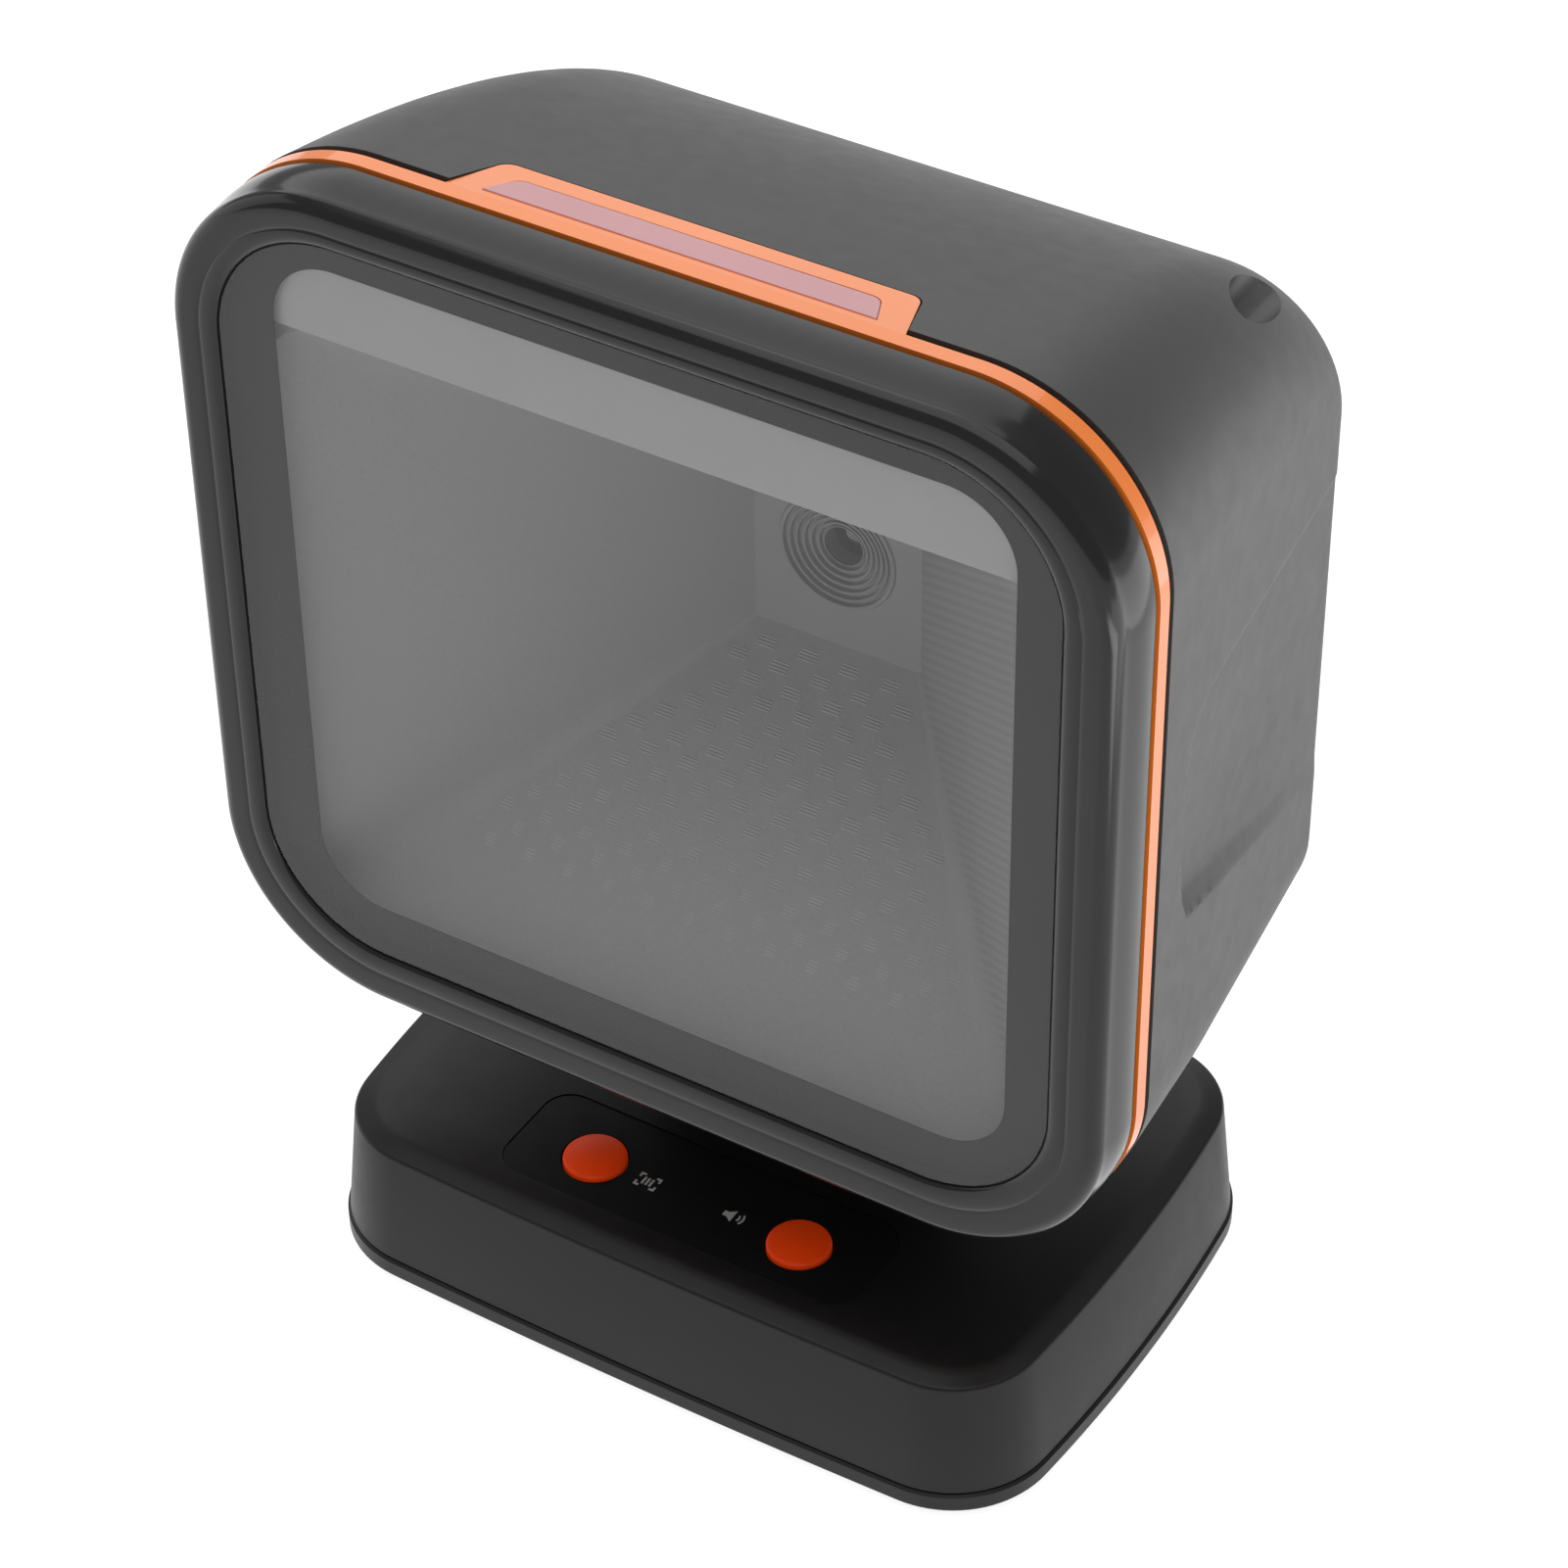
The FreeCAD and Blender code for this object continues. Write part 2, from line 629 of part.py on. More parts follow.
def make_base_shell():
    shell = base_loft(SHELL_INSETS)
    shell = shell.cut(base_loft(HOLLOW_INSETS))
    bosses = [post(BOSS_RADIUS, x, y, BOSS_JOINT, SHELL_CEILING + OVERLAP) for x, y in FEET]
    shell = union([shell] + bosses)
    for x, y in FEET:
        shell = shell.cut(post(SCREW_PILOT, x, y, BOSS_JOINT - BEYOND, PILOT_TOP))
    above = BASE_TOP + BEYOND
    below = SHELL_CEILING - BEYOND
    shell = shell.cut(panel_plate(PANEL_GAP, PANEL_BOTTOM, above))
    for side in (-1, 1):
        shell = shell.cut(post(BUTTON_RADIUS + BUTTON_GAP, side * BUTTON_X, BUTTON_Y, below, above))
    half_x = SPIGOT_HALF_WIDTH + SPIGOT_GAP
    half_y = SPIGOT_HALF_DEPTH + SPIGOT_GAP
    shell = shell.cut(block(-half_x, half_x, PIVOT_Y - half_y, PIVOT_Y + half_y, below, above))
    mouth = SOCKET_HALF_WIDTH + SOCKET_GAP
    shell = shell.cut(block(
        -mouth, mouth, SOCKET_OPENING_FRONT, SOCKET_OPENING_REAR,
        SOCKET_LOW - SOCKET_GAP, SOCKET_HIGH + SOCKET_GAP,
    ))
    nodes["base_shell"] = shell


def panel_plate(gap, z0, z1):
    return rounded_plate(
        -PANEL_HALF_WIDTH - gap, PANEL_HALF_WIDTH + gap,
        PANEL_FRONT - gap, PANEL_REAR + gap, PANEL_CORNER + gap, z0, z1,
    )


def make_feet_and_screws():
    nodes["rubber_feet"] = group(
        union([
            Part.makeCone(FOOT_RADIUS - FOOT_RIM, FOOT_RADIUS, FOOT_RIM, Vector(x, y, 0)),
            post(FOOT_RADIUS, x, y, FOOT_RIM, FOOT_TOP),
        ])
        for x, y in FEET
    )
    nodes["base_screws"] = group(
        union([
            post(SCREW_HEAD_RADIUS, x, y, SCREW_SEAT - SCREW_HEAD_HEIGHT, SCREW_SEAT),
            post(SCREW_SHANK, x, y, SCREW_SEAT - OVERLAP, SCREW_TIP),
        ])
        for x, y in FEET
    )
    nodes["ballast_plate"] = rounded_plate(
        -BALLAST_HALF_WIDTH, BALLAST_HALF_WIDTH, BALLAST_FRONT, BALLAST_REAR,
        BALLAST_CORNER, PLATE_TOP, BALLAST_TOP,
    )


def make_button_board():
    board = rounded_plate(
        -BOARD_HALF_WIDTH, BOARD_HALF_WIDTH, BOARD_FRONT, BOARD_REAR, BOARD_CORNER, BOARD_BOTTOM, BOARD_TOP
    )
    for x, y in BOARD_POSTS:
        board = board.cut(post(SMALL_CLEARANCE, x, y, BOARD_BOTTOM - BEYOND, BOARD_TOP + BEYOND))
    head_radius, head_height = BOARD_SCREW_HEAD
    nodes["base_circuit_board"] = board
    nodes["base_board_screws"] = group(
        union([
            post(head_radius, x, y, BOARD_TOP, BOARD_TOP + head_height),
            post(SMALL_SCREW_RADIUS, x, y, SMALL_SCREW_LOW, BOARD_TOP + OVERLAP),
        ])
        for x, y in BOARD_POSTS
    )
    switches = []
    for side in (-1, 1):
        x = side * BUTTON_X
        body = block(
            x - SWITCH_HALF, x + SWITCH_HALF,
            BUTTON_Y - SWITCH_HALF, BUTTON_Y + SWITCH_HALF, BOARD_TOP, SWITCH_TOP,
        )
        bore = post(PLUNGER_RADIUS + 0.1, x, BUTTON_Y, PLUNGER_BORE_LOW, SWITCH_TOP + BEYOND)
        switches.append(body.cut(bore))
    nodes["tact_switches"] = group(switches)
    top = BOARD_TOP + BUZZER_HEIGHT
    hole = post(BUZZER_HOLE_RADIUS, 0, BUZZER_Y, top - BUZZER_HOLE_DEPTH, top + BEYOND)
    nodes["buzzer"] = post(BUZZER_RADIUS, 0, BUZZER_Y, BOARD_TOP, top).cut(hole)


def make_button(name, plunger_name, side):
    """A domed cap with a retaining flange under the shell, and the switch
    plunger that it presses."""
    x = side * BUTTON_X
    cap_radius = (BUTTON_RADIUS**2 + BUTTON_DOME**2) / (2 * BUTTON_DOME)
    half = BUTTON_RADIUS / 2
    top = BUTTON_EDGE_TOP + BUTTON_DOME
    mid_z = top - cap_radius + math.sqrt(cap_radius**2 - half**2)

    def at(r, z):
        return Vector(r, 0, z)

    edges = [
        Part.makeLine(at(0, BUTTON_BOTTOM), at(BUTTON_FLANGE_RADIUS, BUTTON_BOTTOM)),
        Part.makeLine(at(BUTTON_FLANGE_RADIUS, BUTTON_BOTTOM), at(BUTTON_FLANGE_RADIUS, BUTTON_FLANGE_TOP)),
        Part.makeLine(at(BUTTON_FLANGE_RADIUS, BUTTON_FLANGE_TOP), at(BUTTON_RADIUS, BUTTON_FLANGE_TOP)),
        Part.makeLine(at(BUTTON_RADIUS, BUTTON_FLANGE_TOP), at(BUTTON_RADIUS, BUTTON_EDGE_TOP)),
        Part.Arc(at(BUTTON_RADIUS, BUTTON_EDGE_TOP), at(half, mid_z), at(0, top)).toShape(),
        Part.makeLine(at(0, top), at(0, BUTTON_BOTTOM)),
    ]
    nodes[name] = turned(edges, x, BUTTON_Y)
    nodes[plunger_name] = post(PLUNGER_RADIUS, x, BUTTON_Y, PLUNGER_LOW, BUTTON_BOTTOM)


def make_panel():
    panel = panel_plate(0.0, PANEL_BOTTOM, PANEL_TOP)
    for side in (-1, 1):
        hole = post(
            BUTTON_RADIUS + BUTTON_GAP, side * BUTTON_X, BUTTON_Y,
            PANEL_BOTTOM - BEYOND, PANEL_TOP + BEYOND,
        )
        panel = panel.cut(hole)
    nodes["button_panel"] = panel
    nodes["panel_symbols"] = group(frame_mark(*FRAME_MARK_AT) + speaker_mark(*SPEAKER_MARK_AT))


def ink(x0, x1, y0, y1):
    return block(x0, x1, y0, y1, PANEL_TOP, PANEL_TOP + INK)


def frame_mark(x, y):
    """Four corner brackets round three upright bars."""
    half_w, half_h, arm = 1.7 * MARK_SCALE, 1.3 * MARK_SCALE, 0.85 * MARK_SCALE
    bar_pitch, bar_half = 0.62 * MARK_SCALE, 0.7 * MARK_SCALE
    marks = []
    for sx in (-1, 1):
        for sy in (-1, 1):
            cx, cy = x + sx * half_w, y + sy * half_h
            across = ink(min(cx, cx - sx * arm), max(cx, cx - sx * arm),
                         min(cy, cy - sy * MARK_LINE), max(cy, cy - sy * MARK_LINE))
            up = ink(min(cx, cx - sx * MARK_LINE), max(cx, cx - sx * MARK_LINE),
                     min(cy, cy - sy * arm), max(cy, cy - sy * arm))
            marks.append(union([across, up]))
    for step in (-1, 0, 1):
        cx = x + step * bar_pitch
        marks.append(ink(cx - MARK_LINE / 2, cx + MARK_LINE / 2, y - bar_half, y + bar_half))
    return marks


def speaker_mark(x, y):
    """A loudspeaker cone with two sound waves."""
    def fan(points):
        corners = [(x + a * MARK_SCALE, y + b * MARK_SCALE, PANEL_TOP) for a, b in points]
        return polygon_prism(corners, Vector(0, 0, INK))

    marks = [fan([(-1.6, -0.45), (-0.9, -0.45), (0, -1.15), (0, 1.15), (-0.9, 0.45), (-1.6, 0.45)])]
    wedge = fan([(0, 0), (3, -2.2), (3, 2.2)])
    for radius in (1.0 * MARK_SCALE, 1.65 * MARK_SCALE):
        wave = post(radius, x, y, PANEL_TOP, PANEL_TOP + INK)
        wave = wave.cut(post(radius - MARK_LINE * 0.8, x, y, PANEL_TOP, PANEL_TOP + INK))
        marks.append(wave.common(wedge))
    return marks


def make_socket():
    body = block(-SOCKET_HALF_WIDTH, SOCKET_HALF_WIDTH, SOCKET_BACK, SOCKET_MOUTH, SOCKET_LOW, SOCKET_HIGH)
    body = body.cut(block(
        -SOCKET_HOLE_HALF, SOCKET_HOLE_HALF,
        SOCKET_MOUTH - SOCKET_DEPTH, SOCKET_MOUTH + BEYOND, SOCKET_HOLE_LOW, SOCKET_HOLE_HIGH,
    ))
    nodes["cable_socket"] = body
    fingers = []
    for k in range(CONTACTS):
        x = (k - (CONTACTS - 1) / 2) * CONTACT_PITCH
        fingers.append(block(
            x - CONTACT_HALF_WIDTH, x + CONTACT_HALF_WIDTH, CONTACT_FRONT, CONTACT_REAR,
            SOCKET_HOLE_HIGH - CONTACT_THICKNESS, SOCKET_HOLE_HIGH,
        ))
    nodes["socket_contacts"] = group(fingers)
    half_width, front, rear = SOCKET_BOARD
    nodes["socket_board"] = block(-half_width, half_width, front, rear, PLATE_TOP, SOCKET_LOW)


# ---------------------------------------------------------------- hinge parts
def make_neck():
    column = rounded_plate(
        -NECK_HALF_WIDTH, NECK_HALF_WIDTH, NECK_FRONT, NECK_REAR, NECK_CORNER, BASE_TOP, NECK_TOP
    )
    spigot = block(
        -SPIGOT_HALF_WIDTH, SPIGOT_HALF_WIDTH, PIVOT_Y - SPIGOT_HALF_DEPTH, PIVOT_Y + SPIGOT_HALF_DEPTH,
        SHELL_CEILING, BASE_TOP + OVERLAP,
    )
    ears = []
    for side in (-1, 1):
        x0, x1 = sorted((side * EAR_INNER, side * EAR_OUTER))
        ears.append(rod_x(EAR_RADIUS, PIVOT_Y, PIVOT_Z, x0, x1))
        ears.append(block(x0, x1, PIVOT_Y - EAR_RADIUS, PIVOT_Y + EAR_RADIUS, NECK_TOP - OVERLAP, PIVOT_Z))
    yoke = union([column, spigot] + ears)
    yoke = yoke.cut(rod_x(SHAFT_RADIUS + PRESS_GAP, PIVOT_Y, PIVOT_Z, -CAP_OUTER, CAP_OUTER))
    for side in (-1, 1):
        yoke = yoke.cut(post(SCREW_PILOT, side * NECK_SCREW_X, PIVOT_Y, CLAMP_LOW, NECK_SCREW_TIP + 0.5))
    nodes["neck_yoke"] = yoke

    clamp = rounded_plate(
        -CLAMP_HALF_WIDTH, CLAMP_HALF_WIDTH, PIVOT_Y - CLAMP_HALF_DEPTH, PIVOT_Y + CLAMP_HALF_DEPTH,
        CLAMP_CORNER, CLAMP_LOW, SHELL_CEILING,
    )
    screws = []
    for side in (-1, 1):
        x = side * NECK_SCREW_X
        clamp = clamp.cut(post(SCREW_CLEARANCE, x, PIVOT_Y, CLAMP_LOW - BEYOND, SHELL_CEILING + BEYOND))
        screws.append(union([
            post(SCREW_HEAD_RADIUS, x, PIVOT_Y, CLAMP_LOW - SCREW_HEAD_HEIGHT, CLAMP_LOW),
            post(SCREW_SHANK, x, PIVOT_Y, CLAMP_LOW - OVERLAP, NECK_SCREW_TIP),
        ]))
    nodes["neck_clamp_plate"] = clamp
    nodes["neck_screws"] = group(screws)


def make_hinge_pin():
    shaft = union([
        rod_x(SHAFT_RADIUS, PIVOT_Y, PIVOT_Z, -EAR_OUTER - OVERLAP, EAR_OUTER + PIN_END),
        rod_x(PIN_HEAD_RADIUS, PIVOT_Y, PIVOT_Z, -EAR_OUTER - PIN_HEAD_LENGTH, -EAR_OUTER),
    ])
    nodes["hinge_shaft"] = shaft
    corner = NUT_HALF_FLATS / math.cos(math.radians(30))
    hexagon = []
    for k in range(6):
        angle = math.radians(60 * k)
        hexagon.append((EAR_OUTER, PIVOT_Y + corner * math.cos(angle), PIVOT_Z + corner * math.sin(angle)))
    nut = polygon_prism(hexagon, Vector(NUT_LENGTH, 0, 0))
    nodes["hinge_nut"] = nut.cut(rod_x(SHAFT_RADIUS + PRESS_GAP, PIVOT_Y, PIVOT_Z, 0, CAP_OUTER))
    washers = []
    for side in (-1, 1):
        x0, x1 = sorted((side * (LUG_HALF_WIDTH + WASHER_GAP), side * EAR_INNER))
        washer = rod_x(WASHER_RADIUS, PIVOT_Y, PIVOT_Z, x0, x1)
        bore = rod_x(SHAFT_RADIUS + 0.1, PIVOT_Y, PIVOT_Z, x0 - BEYOND, x1 + BEYOND)
        washers.append(washer.cut(bore))
    nodes["friction_washers"] = group(washers)
    cap = rod_x(EAR_RADIUS, PIVOT_Y, PIVOT_Z, EAR_OUTER, CAP_OUTER)
    rim = [e for e in cap.Edges if abs(e.CenterOfMass.x - CAP_OUTER) < 0.01]
    cap = cap.makeFillet(CAP_EDGE, rim)
    cap = cap.cut(rod_x(CAP_HOLLOW_RADIUS, PIVOT_Y, PIVOT_Z, EAR_OUTER - BEYOND, CAP_OUTER - CAP_FACE))
    nodes["hinge_caps"] = group([cap, mirrored_x(cap)])


def make_hinge_bracket():
    lug = union([
        rod_x(LUG_RADIUS, PIVOT_Y, PIVOT_Z, -LUG_HALF_WIDTH, LUG_HALF_WIDTH),
        block(-LUG_HALF_WIDTH, LUG_HALF_WIDTH, PIVOT_Y - LUG_RADIUS, PIVOT_Y + LUG_RADIUS,
              PIVOT_Z, BRACKET_LOW + OVERLAP),
        rounded_plate(
            -BRACKET_HALF_WIDTH, BRACKET_HALF_WIDTH,
            PIVOT_Y - BRACKET_HALF_DEPTH, PIVOT_Y + BRACKET_HALF_DEPTH,
            BRACKET_CORNER, BRACKET_LOW, BRACKET_HIGH,
        ),
    ])
    lug = lug.cut(rod_x(SHAFT_RADIUS + RUNNING_GAP, PIVOT_Y, PIVOT_Z, -EAR_INNER, EAR_INNER))
    head_radius, head_height = BRACKET_SCREW_HEAD
    screws = []
    for x, y in BRACKET_POSTS:
        lug = lug.cut(post(BRACKET_CLEARANCE, x, y, BRACKET_LOW - BEYOND, BRACKET_HIGH + BEYOND))
        screws.append(union([
            post(head_radius, x, y, BRACKET_HIGH, BRACKET_HIGH + head_height),
            post(BRACKET_SCREW_RADIUS, x, y, BRACKET_SCREW_TIP, BRACKET_HIGH + OVERLAP),
        ]))
    nodes["hinge_bracket"] = lug
    nodes["hinge_bracket_screws"] = group(screws)


# ---------------------------------------------------------------- head shells
def make_bezel():
    bezel = swept_round(bezel_profile, RING)
    bezel = bezel.cut(outline_plate(PANE, BEZEL_CREST - BEYOND, LEDGE_FRONT))
    bezel = bezel.cut(outline_plate(LEDGE_OPENING, LEDGE_FRONT - BEYOND, LEDGE_REAR + BEYOND))
    face_edge = shrunk(RING, FLANK_FRONT_INSET + BEZEL_CORNER)
    groove = between(face_edge, PANE, LIP_GROOVE_SHARE)
    bezel = bezel.cut(outline_ring(
        shrunk(groove, -LIP_GROOVE_HALF), shrunk(groove, LIP_GROOVE_HALF),
        BEZEL_CREST - BEYOND, BEZEL_CREST + LIP_GROOVE_DEPTH,
    ))
    radius, collar_front, collar_rear = BEZEL_BOSS_COLLAR
    parts = [bezel]
    for x, z in WELLS:
        parts.append(rod_y(radius, x, z, collar_front, collar_rear))
        parts.append(rod_y(BEZEL_BOSS_RADIUS, x, z, collar_front, BEZEL_BOSS_END))
    bezel = union(parts)
    pilot_radius, pilot_front = BEZEL_PILOT
    for x, z in WELLS:
        bezel = bezel.cut(rod_y(pilot_radius, x, z, pilot_front, BEZEL_BOSS_END + BEYOND))
    half_width, low, high = BEZEL_NOTCH
    nodes["front_bezel"] = bezel.cut(block(-half_width, half_width, BEZEL_REAR, BEZEL_BOSS_END, low, high))


def make_window():
    pane = shrunk(PANE, PANE_GAP)
    nodes["window_glass"] = outline_plate(pane, GLASS_FRONT, GLASS_REAR)
    nodes["window_border"] = outline_ring(shrunk(pane, PANE_GAP), WINDOW, GLASS_REAR, BORDER_REAR)
    nodes["window_gasket"] = outline_ring(
        shrunk(pane, 2 * PANE_GAP), shrunk(LEDGE_OPENING, -2 * PANE_GAP), BORDER_REAR, LEDGE_FRONT
    )


def make_accent_ring(outside):
    """Coloured trim ring, with the tongue that frames the light bar on top."""
    ring = outline_ring(RING, shrunk(RING, RING_DEPTH), RING_FRONT, RING_REAR)
    land = outline_ring(
        shrunk(RING, RING_LAND_INSET), shrunk(RING, RING_DEPTH), BEZEL_REAR, HOUSING_FRONT
    )
    roof = union([outline_plate(RING, RING_FRONT, HOUSING_FRONT), outside])
    tongue = bar_prism(BAR_FRAME, 0.0, BAR_FRAME_LOW, BAR_TOP).common(roof)
    ring = union([ring, land, tongue])
    hole = bar_prism(BAR_LENS, 0.0, BAR_FRAME_LOW - BEYOND, BAR_TOP)
    nodes["accent_ring"] = ring.cut(hole)
    lens = bar_prism(BAR_LENS, -BAR_LENS_GAP, BAR_LENS_LOW, BAR_TOP)
    nodes["status_light_bar"] = lens.common(roof)
    half_width, front, rear, thickness = STATUS_BOARD
    nodes["status_led_board"] = block(
        -half_width, half_width, front, rear, BAR_FRAME_LOW - thickness, BAR_FRAME_LOW
    )
    half_width, front, rear, height = STATUS_LED
    leds = []
    for k in range(STATUS_LEDS):
        x = (k - (STATUS_LEDS - 1) / 2) * STATUS_LED_PITCH
        leds.append(block(x - half_width, x + half_width, front, rear, BAR_FRAME_LOW, BAR_FRAME_LOW + height))
    nodes["status_leds"] = group(leds)


def side_grip(side, outside):
    """Shallow scoop in a side of the housing, deepest at its front edge."""
    reach = 60.0
    prism = polygon_prism([(0, y, z) for y, z in GRIP_OUTLINE], Vector(side * reach, 0, 0))
    floor = outside.copy()
    floor.rotate(Vector(side * GRIP_PIVOT_X, HOUSING_REAR, 0), ALONG_Z, -side * GRIP_TURN)
    return outside.common(prism).cut(floor)


def make_housing(outside):
    shell = outside.cut(housing_solid(HOUSING_WALL))
    for side in (-1, 1):
        shell = shell.cut(side_grip(side, outside))
    posts = [rod_y(WELL_POST_RADIUS, x, z, 0, HOUSING_REAR).common(outside) for x, z in WELLS]
    for x, y in BRACKET_POSTS:
        posts.append(post(BRACKET_POST_RADIUS, x, y, BRACKET_POST_LOW, BRACKET_LOW))
    for x, z in MAIN_SCREWS:
        posts.append(rod_y(MAIN_POST_RADIUS, x, z, MAIN_BOARD_REAR, HOUSING_REAR - HOUSING_WALL / 2))
    shell = union([shell] + posts)
    for x, z in WELLS:
        shell = shell.cut(rod_y(WELL_RADIUS, x, z, WELL_FLOOR, HOUSING_REAR + BEYOND))
        shell = shell.cut(rod_y(SCREW_CLEARANCE, x, z, BEZEL_BOSS_END - BEYOND, WELL_FLOOR + BEYOND))
    for x, y in BRACKET_POSTS:
        shell = shell.cut(post(BRACKET_PILOT_RADIUS, x, y, BRACKET_PILOT_LOW, BRACKET_LOW + BEYOND))
    pilot_radius, pilot_rear = MAIN_PILOT
    for x, z in MAIN_SCREWS:
        shell = shell.cut(rod_y(pilot_radius, x, z, MAIN_BOARD_REAR - BEYOND, pilot_rear))
    shell = shell.cut(bar_prism(BAR_FRAME, BAR_GAP, BAR_FRAME_LOW - BAR_POCKET_DEPTH, BAR_TOP))
    slot = LUG_HALF_WIDTH + LUG_SLOT_GAP
    nodes["rear_housing"] = shell.cut(block(
        -slot, slot, PIVOT_Y - LUG_SLOT_HALF_DEPTH, PIVOT_Y + LUG_SLOT_HALF_DEPTH,
        LUG_SLOT_LOW, BRACKET_LOW - LUG_SLOT_GAP,
    ))
    head_radius, head_length = HEAD_SCREW_HEAD
    nodes["housing_screws"] = group(
        union([
            rod_y(head_radius, x, z, WELL_FLOOR, WELL_FLOOR + head_length),
            rod_y(HEAD_SCREW_RADIUS, x, z, HEAD_SCREW_TIP, WELL_FLOOR + OVERLAP),
        ])
        for x, z in WELLS
    )


# ---------------------------------------------------------------- optics and boards
def make_tunnel():
    def funnel(front, back):
        return Part.makeLoft(
            [outline_wire(front, TUNNEL_FRONT_Y), outline_wire(back, TUNNEL_REAR_Y)], True, True
        )

    outer = funnel(shrunk(TUNNEL_FRONT, -TUNNEL_WALL), shrunk(TUNNEL_BACK, -TUNNEL_WALL))
    inner = funnel(TUNNEL_FRONT, TUNNEL_BACK)
    fall = (TUNNEL_FRONT.z_high - TUNNEL_BACK.z_high) / (TUNNEL_REAR_Y - TUNNEL_FRONT_Y)

    def ceiling(y):
        return TUNNEL_FRONT.z_high + TUNNEL_WALL / 2 - fall * (y - TUNNEL_FRONT_Y)

    ribs = []
    for side in (-1, 1):
        x0, x1 = sorted(side * x for x in RIB_X)
        rib_rear = LED_BOARD_REAR + RIB_DEPTH
        board_top = LED_BOARD[2]
        plan = [
            (x0, LED_BOARD_REAR, ceiling(LED_BOARD_REAR)),
            (x0, LED_BOARD_REAR, board_top),
            (x0, rib_rear, board_top),
            (x0, rib_rear, ceiling(rib_rear)),
        ]
        ribs.append(polygon_prism(plan, Vector(x1 - x0, 0, 0)))
    nodes["optical_tunnel"] = union([outer] + ribs).cut(inner)


def make_camera():
    plate_rear = TUNNEL_REAR_Y + ENGINE_PLATE_THICKNESS
    plate = outline_plate(ENGINE_PLATE, TUNNEL_REAR_Y, plate_rear)
    posts = [
        rod_y(ENGINE_POST_RADIUS, x, z, plate_rear - OVERLAP, CAMERA_BOARD_FRONT) for x, z in CAMERA_SCREWS
    ]
    plate = union([plate] + posts)
    plate = plate.cut(rod_y(
        BARREL_RADIUS + PRESS_GAP, 0, LENS_Z, TUNNEL_REAR_Y - BEYOND, plate_rear + BEYOND
    ))
    for x, z in CAMERA_SCREWS:
        plate = plate.cut(rod_y(SMALL_PILOT_RADIUS, x, z, ENGINE_PILOT_FRONT, CAMERA_BOARD_FRONT + BEYOND))
    nodes["engine_faceplate"] = plate

    barrel = rod_y(BARREL_RADIUS, 0, LENS_Z, BARREL_FRONT, CAMERA_BOARD_FRONT)
    for radius, depth in BARREL_STEPS:
        barrel = barrel.cut(rod_y(radius, 0, LENS_Z, BARREL_FRONT - BEYOND, BARREL_FRONT + depth))
    bore_radius, bore_rear = LENS_BORE
    seat_radius, seat_front = LENS_SEAT
    barrel = barrel.cut(rod_y(bore_radius, 0, LENS_Z, BARREL_FRONT, bore_rear))
    barrel = barrel.cut(rod_y(seat_radius, 0, LENS_Z, seat_front, CAMERA_BOARD_FRONT + BEYOND))
    nodes["lens_barrel"] = barrel
    ball_radius, ball_y = LENS_BALL
    ball = Part.makeSphere(ball_radius, Vector(0, ball_y, LENS_Z))
    shoulder = rod_y(LENS_RADIUS + BEYOND, 0, LENS_Z, LENS_FRONT - BEYOND, seat_front)
    shoulder = shoulder.cut(rod_y(LENS_NECK_RADIUS, 0, LENS_Z, LENS_FRONT - 2 * BEYOND, bore_rear))
    nodes["camera_lens"] = rod_y(LENS_RADIUS, 0, LENS_Z, LENS_FRONT, LENS_REAR).common(ball).cut(shoulder)

    board = outline_plate(ENGINE_PLATE, CAMERA_BOARD_FRONT, CAMERA_BOARD_REAR)
    for x, z in CAMERA_SCREWS:
        board = board.cut(rod_y(
            SMALL_CLEARANCE, x, z, CAMERA_BOARD_FRONT - BEYOND, CAMERA_BOARD_REAR + BEYOND
        ))
    nodes["camera_board"] = board
    nodes["image_sensor"] = block(
        -SENSOR_HALF_WIDTH, SENSOR_HALF_WIDTH, SENSOR_FRONT, CAMERA_BOARD_FRONT,
        LENS_Z - SENSOR_HALF_HEIGHT, LENS_Z + SENSOR_HALF_HEIGHT,
    )
    head_radius, head_length = ENGINE_SCREW_HEAD
    nodes["camera_board_screws"] = group(
        union([
            rod_y(head_radius, x, z, CAMERA_BOARD_REAR, CAMERA_BOARD_REAR + head_length),
            rod_y(SMALL_SCREW_RADIUS, x, z, ENGINE_SCREW_TIP, CAMERA_BOARD_REAR + OVERLAP),
        ])
        for x, z in CAMERA_SCREWS
    )


def make_illumination():
    sheet = outline_plate(shrunk(LEDGE_OPENING, DIFFUSER_GAP), DIFFUSER_FRONT, DIFFUSER_REAR)
    below = block(
        -RING.half_width, RING.half_width, BEZEL_CREST, HOUSING_REAR, RING.z_low, DIFFUSER_LOW
    )
    nodes["illumination_diffuser"] = sheet.cut(below)
    half_width, low, high = LED_BOARD
    nodes["illumination_led_board"] = block(
        -half_width, half_width, LED_BOARD_FRONT, LED_BOARD_REAR, low, high
    )
    half_width, height, low, high = LED
    leds = []
    for k in range(LED_COUNT):
        x = (k - (LED_COUNT - 1) / 2) * LED_PITCH
        front = LED_BOARD_FRONT - height
        leds.append(block(x - half_width, x + half_width, front, LED_BOARD_FRONT, low, high))
    nodes["illumination_leds"] = group(leds)


